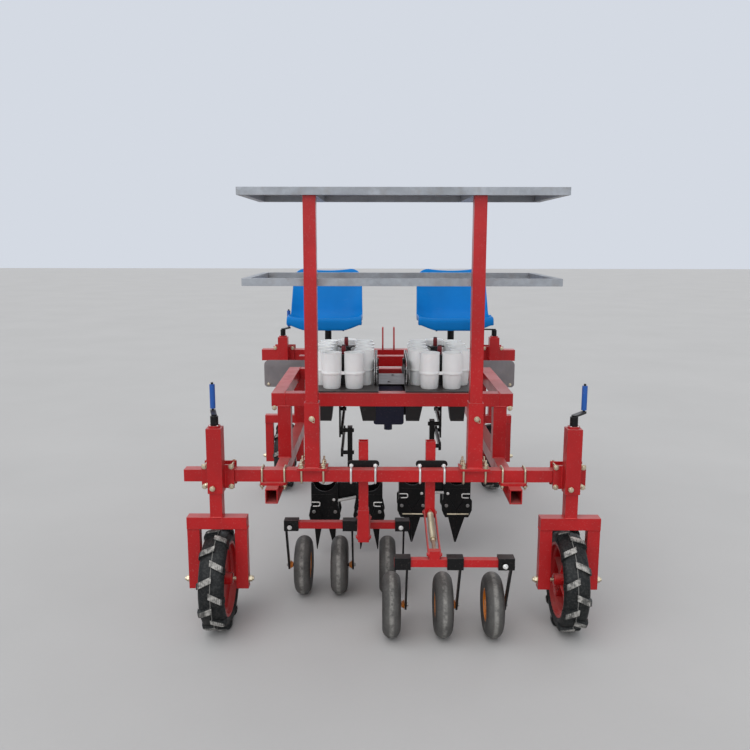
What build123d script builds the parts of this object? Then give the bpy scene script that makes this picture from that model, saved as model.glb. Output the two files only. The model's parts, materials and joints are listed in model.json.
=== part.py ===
from build123d import *

import os
from collections import namedtuple
from math import atan, atan2, cos, degrees, pi, radians, sin

# Four-row vegetable transplanter for a tractor's three-point linkage.
# Two operators sit at the front of the machine, facing back. Each one drops seedlings into a ring of cups. The
# cups empty through funnels into beaked buckets, which hang on parallel links and set the seedlings in the soil.
# Two gangs of small press wheels close the rows, and four lugged wheels on screw jacks carry the machine.
#
# Millimetres. +Y is the direction of travel and +Z is up. The origin is on the ground, under the middle of the
# machine's length and width.

# Clearances
SLIP = 0.3  # between a tube and the sleeve that it slides in, and other parts that rest on each other
RUNNING = 0.1  # between a shaft's radius and its bore's
SWING = 8.0  # between a bucket's rim and the jaws that swing under it

# Ground wheels, their forks and screw jacks
WHEEL_RADIUS = 208.0  # to the tips of the lugs
WHEEL_WIDTH = 110.0
TREAD_HALF = 40.0
SHOULDER_DROP = 22.0
SIDE_DRAW = 2.0
LUG_HEIGHT = 15.0
LUG_COUNT = 11  # in each of the tread's two rows
LUG_THICKNESS = 26.0
LUG_LEAN = 26.0
LUG_ROOT = 3.0
LUG_SEAM = 2.0
RIM_RADIUS = 106.0
RIM_WIDTH = 78.0
RIM_WALL = 5.0
RIM_LIP = 8.0
RIM_DISH = 14.0
RIM_DISC = 6.0
RIM_RIBS = 5
RIB_THICKNESS = 6.0
HUB_RADIUS = 26.0
HUB_LENGTH = 112.0
AXLE_RADIUS = 8.0
NUT_RADIUS = 13.0
NUT_LENGTH = 13.0
BOLT_END = 7.0
WHEELBASE = 1866.0
REAR_WHEEL_X = 718.0
FRONT_WHEEL_X = 668.0
FORK_TUBE = 50.0
FORK_SIDE_GAP = 17.0
FORK_TOP_GAP = 14.0
FORK_LEG_DEPTH = 40.0
FORK_LEG_DROP = 36.0  # below the axle
STEM_TUBE = 50.0
STEM_WALL = 4.0
SLEEVE_WALL = 5.0
CAP_THICKNESS = 6.0
CLAMP_PLATE = 12.0
BACK_PLATE = 8.0
CLAMP_PLATE_WIDTH = 132.0
CLAMP_OVERLAP = 24.0
REAR_SLEEVE_BOTTOM = 582.0
REAR_SLEEVE_TOP = 850.0
FRONT_SLEEVE_BOTTOM = 700.0
FRONT_SLEEVE_TOP = 983.0
CRANK_ARM = 85.0
CRANK_RISE = 45.0
CRANK_ROD_RADIUS = 5.0
CRANK_BAR_WIDTH = 22.0
CRANK_BAR_THICKNESS = 8.0
GRIP_RADIUS = 11.0
GRIP_LENGTH = 100.0
GRIP_RISE = 14.0
SCREW_RADIUS = 10.0
SCREW_DEPTH = 60.0
SOCKET_RADIUS = 16.0
BEARING_RADIUS = 24.0
BEARING_HEIGHT = 9.0

FORK_WIDTH = WHEEL_WIDTH + 2 * (FORK_SIDE_GAP + FORK_TUBE)
FORK_TOP = 2 * WHEEL_RADIUS + FORK_TOP_GAP + FORK_TUBE
FORK_LEG_BOTTOM = WHEEL_RADIUS - FORK_LEG_DROP
SLEEVE_TUBE = STEM_TUBE + 2 * (SLEEVE_WALL + SLIP)
AXLE_REACH = FORK_WIDTH / 2 + NUT_LENGTH + BOLT_END  # from the wheel's middle to the end of the axle bolt

# The two tool bars that carry the jacks
REAR_BAR = 50.0
REAR_BAR_BOTTOM = 611.0
REAR_BAR_LEFT = -860.0
REAR_BAR_RIGHT = 776.0
FRONT_BAR = 70.0
FRONT_BAR_BOTTOM = 826.0
FRONT_BAR_REACH = 812.0
BAR_WALL = 5.0
DRAIN_RADIUS = 4.0

REAR_AXLE_Y = -WHEELBASE / 2
FRONT_AXLE_Y = WHEELBASE / 2
REAR_BAR_Y = REAR_AXLE_Y + SLEEVE_TUBE / 2 + CLAMP_PLATE  # near face of each bar
FRONT_BAR_Y = FRONT_AXLE_Y + SLEEVE_TUBE / 2 + CLAMP_PLATE
REAR_BAR_BACK = REAR_BAR_Y + REAR_BAR
REAR_BAR_MIDDLE = REAR_BAR_Y + REAR_BAR / 2
REAR_BAR_TOP = REAR_BAR_BOTTOM + REAR_BAR
FRONT_BAR_TOP = FRONT_BAR_BOTTOM + FRONT_BAR
FRONT_BAR_FACE = FRONT_BAR_Y + FRONT_BAR

# Upper frame, which carries the two cup rings
FRAME_TUBE = 60.0
FRAME_WALL = 4.0
FRAME_TOP = 902.0
FRAME_REACH = 550.0
FRAME_REAR_Y = -492.0
FRAME_FRONT_Y = 250.0
FRAME_BOTTOM = FRAME_TOP - FRAME_TUBE
FRAME_BEAM_Y = FRAME_FRONT_Y - FRAME_TUBE

# Lower side rails, which the uprights stand on
RAIL_INSET = 57.0  # from the upper frame's side
RAIL_WIDTH = 50.0
RAIL_HEIGHT = 60.0
RAIL_WALL = 4.0
RAIL_OVERHANG = 67.0  # past the rear bar
RAIL_CLAMP = 11.0
RAIL_CLAMP_WIDTH = 110.0
RAIL_CLAMP_LENGTH = 90.0
GUSSET_THICKNESS = 8.0
GUSSET_HEIGHT = 46.0
GUSSET_REACH = 34.0
RAIL_X = FRAME_REACH - RAIL_INSET
RAIL_TOP = REAR_BAR_BOTTOM - RAIL_CLAMP
RAIL_BOTTOM = RAIL_TOP - RAIL_HEIGHT

# Seats and their stand
SEAT_X = 354.0
SEAT_WIDTH = 414.0
SEAT_BACK_WIDTH = 350.0
SEAT_REAR_Y = 285.0
SEAT_BACK_Y = 690.0
SEAT_DEPTH = 36.0  # of the turned-back rim
SEAT_WALL = 7.0
SEAT_LIP = 20.0
SEAT_LIP_RUN = 70.0
SEAT_LIP_RADIUS = 60.0
SEAT_BACK_FOOT = 112.0
SEAT_BACK_RADIUS = 95.0
SEAT_SHOULDER = 36.0
SEAT_TOP_DIP = 12.0
SEAT_WAIST = 60.0
SEAT_PAN_Z = 1128.0
SEAT_TOP_Z = 1420.0
STAND_Y = 480.0
STAND_TOP = 928.0
PILLAR_RADIUS = 19.0
FLANGE_RADIUS = 60.0
FLANGE_THICKNESS = 8.0
FLANGE_RISE = 28.0  # from the seat rim's lower edge up to the skin's underside

# Guard plates beside the seats' stand
GUARD_OUTER = 735.0
GUARD_INNER = 440.0
GUARD_BOTTOM = 744.0
GUARD_TOP = 905.0
GUARD_SHEET = 5.0
GUARD_CORNER = 26.0

# Tray racks on two posts
POST_X = 332.0
POST_TUBE = 50.0
POST_WALL = 3.0
SOCKET_WALL = 5.0
SOCKET_TUBE = POST_TUBE + 2 * (SOCKET_WALL + SLIP)
SOCKET_TOP = 942.0
SOCKET_BASE = 10.0
SOCKET_BASE_WIDTH = 124.0
SOCKET_BASE_DEPTH = 84.0
RACK_TUBE = 30.0
RACK_REACH = 641.0
RACK_SHIFT = 31.0
RACK_DEPTH = 592.0
RACK_LAP = 10.0
LOWER_RACK_TOP = 1438.0
UPPER_RACK_TOP = 1790.0
RACK_SHEET = 3.0

# Cup rings
RING_X = 228.0
RING_RADIUS = 98.0
RING_REAR_Y = -300.0
RING_FRONT_Y = 0.0
CUP_COUNT = 11
CUP_FOOT_RADIUS = 34.0
CUP_WAIST_RADIUS = 39.0
CUP_RADIUS = 42.0
CUP_COLLAR_RADIUS = 44.5
CUP_WALL = 3.0
CUP_HEIGHT = 167.7
CUP_WAIST = 72.0
CUP_COLLAR = 7.0
BAND_WIDTH = 9.0
BAND_HEIGHT = 14.0
SPIDER_RADIUS = 50.0
SPIDER_HUB_RADIUS = 24.0
SPIDER_ARM_WIDTH = 13.0
SPIDER_THICKNESS = 6.0
SPIDER_ARMS = 5
SPIDER_Z = 1048.0
KNOB_RADIUS = 9.0
KNOB_TOP = 1100.0
RING_BEAM_WIDTH = 48.0
RING_BEAM_HEIGHT = 20.0
TRAY_THICKNESS = 6.0
TRAY_MARGIN = 6.0
TRAY_REAR_Y = -470.0
TRAY_FRONT_Y = 230.0
DROP_HOLE_RADIUS = 38.0
CUP_BOTTOM = FRAME_TOP + TRAY_THICKNESS + SLIP
BAND_BOTTOM = CUP_BOTTOM + CUP_WAIST - BAND_HEIGHT / 2

# Chain drive beside each ring
CHAIN_GAP = 6.0  # from the cups
CHAIN_WIDTH = 8.0
CHAIN_HEIGHT = 7.0
CHAIN_RADIUS = 50.0
CHAIN_Z = 972.0
CHAIN_REAR_Y = -320.0
CHAIN_FRONT_Y = 20.0
SPROCKET_THICKNESS = 4.0
SPROCKET_BOSS_RADIUS = 14.0
BEARING_PLATE = 6.0
BEARING_PLATE_WIDTH = 40.0

# Planting buckets, two to a unit, on parallel links
INNER_ROW_X = 108.0
OUTER_ROW_X = 330.0
LINK_LENGTH = 260.0
LINK_SPACING = 114.0
LINK_REST_ANGLE = {-1: -12.0, 1: -4.0}  # left unit near the bottom of its stroke, right one above it
JAW_REST_ANGLE = {-1: 11.0, 1: 0.0}  # the left unit's beaks stand open
LINK_PIVOT_Y = 70.0
LINK_PIVOT_Z = 708.0
LINK_PIN_RADIUS = 10.0
LINK_PIN_REACH = 8.0
LINK_EYE_RADIUS = 22.0
LINK_BAR_HEIGHT = 28.0
LINK_INNER_X = 238.0
LINK_THICKNESS = 12.0
CARRIER_INNER_X = 192.0
CARRIER_THICKNESS = 24.0
CARRIER_DEPTH = 40.0
CARRIER_CAP = 20.0
CARRIER_BLOCK_DEPTH = 60.0
CARRIER_BLOCK_HEIGHT = 85.0
CARRIER_BLOCK_DROP = 40.0  # below the bucket's body top
HANGER_X = 262.0
HANGER_THICKNESS = 8.0
HANGER_REACH = 34.0
BUCKET_DROP = 619.0  # from the upper pin down to the closed beak's tip
BUCKET_WIDTH = 134.0
BUCKET_DEPTH = 110.0
BUCKET_WALL = 4.0
BEAK_HEIGHT = 165.0
BODY_HEIGHT = 147.0
HORN_HEIGHT = 50.0
HORN_ARC_RADIUS = 56.0
HORN_ARC_RISE = 12.0
BEAK_WIDTH = 86.0
BEAK_TIP = 8.0
BEAK_SHUT = 30.0  # height of the solid point
JAW_GAP = 1.0  # between closed jaws
JAW_WALL = 4.0
JAW_FLANGE = 4.0
JAW_FLANGE_REACH = 58.0
JAW_PIN_RADIUS = 5.0
JAW_PIN_X = 53.0
JAW_PIN_RISE = 50.0
JAW_PIN_END = 3.0
CHEEK_GAP = 1.0
CHEEK_THICKNESS = 5.0
CHEEK_REACH = 75.0
CHEEK_LEVER = 48.0  # above the pin
FUNNEL_Y = -140.0
FUNNEL_BOTTOM = 700.0
FUNNEL_WALL = 3.0
FUNNEL_TOP_SIZE = (104.0, 112.0)
FUNNEL_FOOT_SIZE = (66.0, 76.0)

# Box of the planting drive
DRIVE_LEFT = -88.0
DRIVE_RIGHT = 72.0
DRIVE_FRONT_Y = 214.0
DRIVE_DEPTH = 144.0
DRIVE_BOTTOM = 622.0
DRIVE_TOP = 806.0
DRIVE_CORNER = 14.0
DRIVE_PLATE = 6.0
DRIVE_PLATE_RISE = 20.0
DRIVE_PLATE_LEFT = -94.0
DRIVE_PLATE_RIGHT = 102.0
DRIVE_BOSS_X = -10.0
DRIVE_BOSS_RADIUS = 22.0
DRIVE_BOSS_DROP = 42.0

# Three-point linkage
EAR_GAP = 62.0
EAR_THICKNESS = 10.0
EAR_TOP = 1034.0
EAR_REACH = 30.0
EAR_BACK = 20.0
EAR_BORE_RADIUS = 9.75
EAR_BORE_DROP = 25.0
EAR_BORE_Y = 5.0
LOWER_PIN_X = 322.0
LOWER_PIN_Z = 560.0
LOWER_PIN_RADIUS = 11.0
LOWER_PIN_LENGTH = 60.0
LOWER_BRACKET = 14.0
LOWER_BRACKET_REACH = 66.0
LOWER_BRACKET_FOOT = 70.0
LOWER_BRACKET_DROP = 30.0
LOWER_PIN_INSET = 32.0

# Press wheel gangs
PRESS_RADIUS = 131.0
PRESS_WIDTH = 74.0
PRESS_SHOULDER_RADIUS = 92.0
PRESS_RIM_RADIUS = 66.0
PRESS_RIM_WALL = 6.0
PRESS_SEAT_INSET = 8.0
PRESS_DISC = 6.0
PRESS_HUB_RADIUS = 20.0
PRESS_HUB_LENGTH = 60.0
PRESS_RIBS = 6
STUB_RADIUS = 7.0
STUB_END = 20.0
GANG_TUBE = 30.0
GANG_WALL = 3.0
GANG_STEM = 40.0
GANG_STEM_WALL = 4.0
GANG_STEM_TOP = 768.0
GANG_FOOT_SLEEVE = 46.0
GANG_FOOT_LENGTH = 140.0
GANG_LINK_THICKNESS = 5.0
GANG_LINK_WIDTH = 26.0
GANG_PIN_RADIUS = 7.0
GANG_PIN_RISE = 16.0
GANG_PIN_END = 5.0
CLEVIS_HEIGHT = 34.0
CLEVIS_DEPTH = 30.0
STRAP_THICKNESS = 8.0
STRAP_WIDTH = 26.0
STRAP_DROP = 18.0  # below the stub
CLAMP_WIDTH = 63.0
CLAMP_WALL = 8.0

NODES = {}

# name, wheel's x and y, bar's near face, bottom and height, sleeve's bottom and top, crank's direction
Jack = namedtuple("Jack", "name x y bar_y bar_bottom bar_height sleeve_bottom sleeve_top crank_angle")
REAR = (REAR_AXLE_Y, REAR_BAR_Y, REAR_BAR_BOTTOM, REAR_BAR, REAR_SLEEVE_BOTTOM, REAR_SLEEVE_TOP)
FRONT = (FRONT_AXLE_Y, FRONT_BAR_Y, FRONT_BAR_BOTTOM, FRONT_BAR, FRONT_SLEEVE_BOTTOM, FRONT_SLEEVE_TOP)
JACKS = (
    Jack("rear_left", -REAR_WHEEL_X, *REAR, 105),
    Jack("rear_right", REAR_WHEEL_X, *REAR, 50),
    Jack("front_left", -FRONT_WHEEL_X, *FRONT, 70),
    Jack("front_right", FRONT_WHEEL_X, *FRONT, 170),
)

# name, stem's x and bottom, cross bar's ends, y and z, wheels' y, and each wheel's, clamp's and strap's x
Gang = namedtuple("Gang", "name stem_x stem_bottom bar_left bar_right bar_y bar_z wheel_y wheels")
GANGS = (
    Gang("left", -124.0, 330.0, -474.0, 76.0, -711.0, 360.0, -615.0,
         ((-400.0, -442.0, -466.0), (-237.0, -186.0, -176.0), (-20.0, 43.0, 50.0))),
    Gang("right", 155.0, 440.0, 0.0, 464.0, -1125.0, 365.0, -1005.0,
         ((-8.0, 32.0, 50.0), (201.0, 235.0, 256.0), (402.0, 431.0, 452.0))),
)


def save(builder, label):
    """Names a finished piece and keeps it for export."""
    builder.part.label = label
    NODES[label] = builder.part


def block(x0, x1, y0, y1, z0, z1, mode=Mode.ADD):
    """A box between two corners, in the part that is being built."""
    with Locations(((x0 + x1) / 2, (y0 + y1) / 2, (z0 + z1) / 2)):
        Box(abs(x1 - x0), abs(y1 - y0), abs(z1 - z0), mode=mode)


def tube(axis, x0, x1, y0, y1, z0, z1, wall):
    """A rectangular tube between two corners, open at its ends along axis."""
    block(x0, x1, y0, y1, z0, z1)
    dx, dy, dz = (0 if axis == name else wall for name in "XYZ")
    block(x0 + dx, x1 - dx, y0 + dy, y1 - dy, z0 + dz, z1 - dz, Mode.SUBTRACT)


def rod(axis, start, length, radius, mode=Mode.ADD):
    """A round bar from start along a row axis."""
    turn = {"X": (0, 90, 0), "Y": (-90, 0, 0), "Z": (0, 0, 0)}[axis]
    with Locations(Location(start, turn)):
        Cylinder(radius, length, align=(Align.CENTER, Align.CENTER, Align.MIN), mode=mode)


def upright_plane(x, y, z=0):
    """A plane that faces the rear, with its x along +X and its y along +Z."""
    return Plane(origin=(x, y, z), x_dir=(1, 0, 0), z_dir=(0, -1, 0))


def side_plane(x, y=0, z=0):
    """A plane that faces right, with its x along +Y and its y along +Z."""
    return Plane(origin=(x, y, z), x_dir=(0, 1, 0), z_dir=(1, 0, 0))


def tool_bars():
    """The square rear bar, open at its ends, and the heavier and higher front bar, with capped ends."""
    with BuildPart() as bars:
        tube(
            "X", REAR_BAR_LEFT, REAR_BAR_RIGHT, REAR_BAR_Y, REAR_BAR_BACK, REAR_BAR_BOTTOM, REAR_BAR_TOP, BAR_WALL,
        )
        tube(
            "X", -FRONT_BAR_REACH, FRONT_BAR_REACH, FRONT_BAR_Y, FRONT_BAR_FACE, FRONT_BAR_BOTTOM, FRONT_BAR_TOP,
            BAR_WALL,
        )
        for end in (-FRONT_BAR_REACH, FRONT_BAR_REACH - BAR_WALL):
            block(end, end + BAR_WALL, FRONT_BAR_Y, FRONT_BAR_FACE, FRONT_BAR_BOTTOM, FRONT_BAR_TOP)
            drain = (end, FRONT_BAR_Y + FRONT_BAR / 2, FRONT_BAR_BOTTOM + FRONT_BAR / 4)
            rod("X", drain, BAR_WALL, DRAIN_RADIUS, Mode.SUBTRACT)
    save(bars, "toolbars")


def side_rails():
    """The two long lower rails, each with a clamp plate and a gusset under the rear bar, and the frame's sides."""
    half = RAIL_WIDTH / 2
    rear = REAR_BAR_Y - RAIL_OVERHANG
    with BuildPart() as rails:
        for side in (-1, 1):
            x = side * RAIL_X
            tube("Y", x - half, x + half, rear, FRONT_BAR_FACE, RAIL_BOTTOM, RAIL_TOP, RAIL_WALL)
            with BuildSketch(Plane.XY.offset(RAIL_TOP)):
                with Locations((x, REAR_BAR_MIDDLE)):
                    RectangleRounded(RAIL_CLAMP_WIDTH, RAIL_CLAMP_LENGTH, RAIL_CLAMP_LENGTH / 4)
            extrude(amount=RAIL_CLAMP)
            with BuildSketch(upright_plane(x - side * half, REAR_BAR_MIDDLE + GUSSET_THICKNESS / 2, RAIL_TOP)):
                Polygon((0, 0), (-side * GUSSET_REACH, 0), (0, -GUSSET_HEIGHT), align=None)
            extrude(amount=GUSSET_THICKNESS)
        for x in (-FRAME_REACH, FRAME_REACH - FRAME_TUBE):
            tube(
                "Y", x, x + FRAME_TUBE, FRAME_REAR_Y + FRAME_TUBE, FRAME_BEAM_Y, FRAME_BOTTOM, FRAME_TOP, FRAME_WALL,
            )
    save(rails, "side_rails")


def cross_rails():
    """The upper frame's two cross rails and the seats' beam."""
    beam = RAIL_X + FRAME_TUBE / 2
    with BuildPart() as rails:
        for y in (FRAME_REAR_Y, FRAME_BEAM_Y):
            tube("X", -FRAME_REACH, FRAME_REACH, y, y + FRAME_TUBE, FRAME_BOTTOM, FRAME_TOP, FRAME_WALL)
        tube("X", -beam, beam, STAND_Y, STAND_Y + FRAME_TUBE, STAND_TOP - FRAME_TUBE, STAND_TOP, FRAME_WALL)
    save(rails, "cross_rails")


def frame_legs():
    """The uprights on the lower rails: four under the upper frame, two under the seats' beam, two at the front."""
    half = FRAME_TUBE / 2
    stations = (  # near face, top
        (FRAME_REAR_Y, FRAME_BOTTOM),
        (FRAME_BEAM_Y, FRAME_BOTTOM),
        (STAND_Y, STAND_TOP - FRAME_TUBE),
        (FRONT_BAR_Y, FRONT_BAR_BOTTOM),
    )
    with BuildPart() as legs:
        for side in (-1, 1):
            x = side * RAIL_X
            for y, top in stations:
                tube("Z", x - half, x + half, y, y + FRAME_TUBE, RAIL_TOP, top, FRAME_WALL)
    save(legs, "frame_legs")


def seat_pillars():
    """A round pillar with a flange under each seat's skin."""
    top = SEAT_PAN_Z - SEAT_WALL - SLIP
    y = STAND_Y + FRAME_TUBE / 2
    with BuildPart() as pillars:
        for side in (-1, 1):
            x = side * SEAT_X
            rod("Z", (x, y, STAND_TOP), top - STAND_TOP, PILLAR_RADIUS)
            rod("Z", (x, y, top - FLANGE_THICKNESS), FLANGE_THICKNESS, FLANGE_RADIUS)
            rod("Z", (x, y, STAND_TOP), FLANGE_THICKNESS, FLANGE_RADIUS / 2)
    save(pillars, "seat_pillars")


def seat_outline(inset):
    """The right seat's outline seen from the rear, drawn in by inset, as a block along the seat's whole depth."""
    low = SEAT_PAN_Z - 2 * SEAT_DEPTH
    high = SEAT_TOP_Z - inset
    wide = SEAT_WIDTH / 2 - inset
    narrow = SEAT_BACK_WIDTH / 2 - inset
    run = narrow - SEAT_SHOULDER
    waist = SEAT_PAN_Z + SEAT_WAIST
    with BuildPart() as outline:
        with BuildSketch(upright_plane(SEAT_X, SEAT_REAR_Y - SEAT_DEPTH)):
            with BuildLine():
                Polyline((-run, high), (-narrow, high - SEAT_SHOULDER), (-wide, waist), (-wide, low))
                Polyline((-wide, low), (wide, low), (wide, waist), (narrow, high - SEAT_SHOULDER), (run, high))
                ThreePointArc((-run, high), (0, high - SEAT_TOP_DIP), (run, high))
            make_face()
        extrude(amount=SEAT_REAR_Y - SEAT_BACK_Y - 2 * SEAT_DEPTH)
    return outline.part


def seat_band(depth):
    """The right seat's bent profile seen from the side, as thick as depth behind its face, over its width."""
    with BuildPart() as band:
        with BuildSketch(side_plane(SEAT_X - SEAT_WIDTH / 2)):
            with BuildLine():
                FilletPolyline(
                    (SEAT_REAR_Y, SEAT_PAN_Z - SEAT_LIP),
                    (SEAT_REAR_Y + SEAT_LIP_RUN, SEAT_PAN_Z),
                    (SEAT_BACK_Y - SEAT_DEPTH - SEAT_BACK_FOOT, SEAT_PAN_Z),
                    (SEAT_BACK_Y - SEAT_DEPTH, SEAT_TOP_Z),
                    radius=(SEAT_LIP_RADIUS, SEAT_BACK_RADIUS),
                )
                offset(amount=depth, side=Side.RIGHT)
            make_face()
        extrude(amount=SEAT_WIDTH)
    return band.part


def seats():
    """Moulded seat shells: a bent skin inside a turned-back rim, open at the back."""
    with BuildPart() as hollow:
        add(seat_band(2 * SEAT_DEPTH))
        add(seat_band(SEAT_WALL), mode=Mode.SUBTRACT)
        add(seat_outline(SEAT_WALL), mode=Mode.INTERSECT)
    with BuildPart() as pair:
        add(seat_band(SEAT_DEPTH))
        add(seat_outline(0), mode=Mode.INTERSECT)
        add(hollow.part, mode=Mode.SUBTRACT)
        mirror(about=Plane.YZ)
    save(pair, "seats")


def guard_plates():
    """Plates behind the seats' beam, with one rounded corner each."""
    with BuildPart() as plates:
        for side in (-1, 1):
            with BuildSketch(upright_plane(0, STAND_Y)) as face:
                with Locations((side * (GUARD_OUTER + GUARD_INNER) / 2, (GUARD_BOTTOM + GUARD_TOP) / 2)):
                    Rectangle(GUARD_OUTER - GUARD_INNER, GUARD_TOP - GUARD_BOTTOM)
                corner = face.vertices().sort_by(Axis.Z).group_by(Axis.Z)[-1].sort_by(Axis.X)[-1 if side > 0 else 0]
                fillet(corner, GUARD_CORNER)
            extrude(amount=GUARD_SHEET)
    save(plates, "side_guards")


def drive_box():
    """The box of the planting drive under the front cross rail, with its output boss."""
    rear = DRIVE_FRONT_Y - DRIVE_DEPTH
    with BuildPart() as box:
        block(DRIVE_LEFT, DRIVE_RIGHT, rear, DRIVE_FRONT_Y, DRIVE_BOTTOM, DRIVE_TOP)
        fillet(box.edges().filter_by(Axis.Y), DRIVE_CORNER)
        boss = (DRIVE_BOSS_X, rear + DRIVE_DEPTH / 2, DRIVE_BOTTOM - DRIVE_BOSS_DROP)
        rod("Z", boss, DRIVE_BOSS_DROP, DRIVE_BOSS_RADIUS)
    save(box, "drive_box")


def hitch():
    """The upper link's two ears on the front bar, and the two lower link pins on their brackets."""
    front = FRONT_BAR_FACE
    reach = front + LOWER_BRACKET_REACH
    with BuildPart() as mast:
        for side in (-1, 1):
            x = side * (EAR_GAP + EAR_THICKNESS) / 2
            with BuildSketch(side_plane(x - EAR_THICKNESS / 2)):
                Polygon(
                    (FRONT_BAR_Y, FRONT_BAR_TOP),
                    (front, FRONT_BAR_TOP),
                    (front + EAR_REACH, EAR_TOP - 2 * EAR_BORE_DROP),
                    (front + EAR_REACH, EAR_TOP),
                    (front - EAR_BACK, EAR_TOP),
                    (FRONT_BAR_Y, FRONT_BAR_TOP + EAR_REACH),
                    align=None,
                )
            extrude(amount=EAR_THICKNESS)
        bore = (-EAR_GAP, front + EAR_BORE_Y, EAR_TOP - EAR_BORE_DROP)
        rod("X", bore, 2 * EAR_GAP, EAR_BORE_RADIUS, Mode.SUBTRACT)
        for side in (-1, 1):
            x = side * LOWER_PIN_X
            with BuildSketch(side_plane(x - LOWER_BRACKET / 2)):
                Polygon(
                    (front, FRONT_BAR_TOP),
                    (front + EAR_REACH, FRONT_BAR_TOP),
                    (reach, LOWER_PIN_Z + 2 * LOWER_BRACKET_DROP),
                    (reach, LOWER_PIN_Z - LOWER_BRACKET_DROP),
                    (reach - LOWER_BRACKET_FOOT, LOWER_PIN_Z - LOWER_BRACKET_DROP),
                    (front - EAR_BACK, FRONT_BAR_BOTTOM - FRONT_BAR / 2),
                    (FRONT_BAR_Y, FRONT_BAR_BOTTOM),
                    (front, FRONT_BAR_BOTTOM),
                    align=None,
                )
            extrude(amount=LOWER_BRACKET)
            start = x if side > 0 else x - LOWER_PIN_LENGTH
            rod("X", (start, reach - LOWER_PIN_INSET, LOWER_PIN_Z), LOWER_PIN_LENGTH, LOWER_PIN_RADIUS)
    save(mast, "hitch_brackets")


def tray_racks():
    """Two posts in clamped sockets on the rear bar, and the two racks for seedling trays."""
    half = SOCKET_TUBE / 2
    y = REAR_BAR_MIDDLE
    base_top = REAR_BAR_TOP + SOCKET_BASE
    wide, deep = SOCKET_BASE_WIDTH / 2, SOCKET_BASE_DEPTH / 2
    with BuildPart() as sockets:
        for side in (-1, 1):
            x = side * POST_X
            block(x - wide, x + wide, y - deep, y + deep, REAR_BAR_TOP, base_top)
            tube("Z", x - half, x + half, y - half, y + half, base_top, SOCKET_TOP, SOCKET_WALL)
    save(sockets, "post_sockets")
    half = POST_TUBE / 2
    upper_bottom = UPPER_RACK_TOP - RACK_TUBE
    with BuildPart() as posts:
        for side in (-1, 1):
            x = side * POST_X
            tube("Z", x - half, x + half, y - half, y + half, base_top + SLIP, upper_bottom, POST_WALL)
    save(posts, "rack_posts")
    left, right = RACK_SHIFT - RACK_REACH, RACK_SHIFT + RACK_REACH
    lower_y = y + half + SLIP
    lower_bottom = LOWER_RACK_TOP - RACK_TUBE
    upper_y = y - half - RACK_TUBE + RACK_LAP
    sheet_bottom = UPPER_RACK_TOP - RACK_SHEET
    with BuildPart() as racks:
        block(left, right, lower_y, lower_y + RACK_DEPTH, lower_bottom, LOWER_RACK_TOP)
        block(
            left + RACK_TUBE, right - RACK_TUBE, lower_y + RACK_TUBE, lower_y + RACK_DEPTH - RACK_TUBE, lower_bottom,
            LOWER_RACK_TOP, Mode.SUBTRACT,
        )
        block(left, right, upper_y, upper_y + RACK_DEPTH, upper_bottom, UPPER_RACK_TOP)
        block(
            left + RACK_TUBE, right - RACK_TUBE, upper_y + RACK_TUBE, upper_y + RACK_DEPTH - RACK_TUBE, upper_bottom,
            sheet_bottom, Mode.SUBTRACT,
        )
        for side in (-1, 1):
            x = side * POST_X
            block(
                x - half, x + half, upper_y + RACK_TUBE, upper_y + RACK_DEPTH - RACK_TUBE, upper_bottom, sheet_bottom,
            )
    save(racks, "tray_racks")


def cup_places():
    """Centres of the cups round the right ring, evenly spaced."""
    straight = RING_FRONT_Y - RING_REAR_Y
    bend = pi * RING_RADIUS
    lap = 2 * (straight + bend)
    places = []
    for n in range(CUP_COUNT):
        s = (n * lap / CUP_COUNT + bend / 2) % lap
        if s < bend:
            turn = s / RING_RADIUS
            places.append((RING_X + RING_RADIUS * cos(turn), RING_FRONT_Y + RING_RADIUS * sin(turn)))
        elif s < bend + straight:
            places.append((RING_X - RING_RADIUS, RING_FRONT_Y - (s - bend)))
        elif s < 2 * bend + straight:
            turn = (s - bend - straight) / RING_RADIUS
            places.append((RING_X - RING_RADIUS * cos(turn), RING_REAR_Y - RING_RADIUS * sin(turn)))
        else:
            places.append((RING_X + RING_RADIUS, RING_REAR_Y + (s - 2 * bend - straight)))
    return places


def turned_cup(profile):
    """A round solid from its profile of radii and heights."""
    with BuildPart() as turned:
        with BuildSketch(Plane.XZ):
            Polygon((0, profile[0][1]), *profile, (0, profile[-1][1]), align=None)
        revolve(axis=Axis.Z)
    return turned.part


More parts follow.
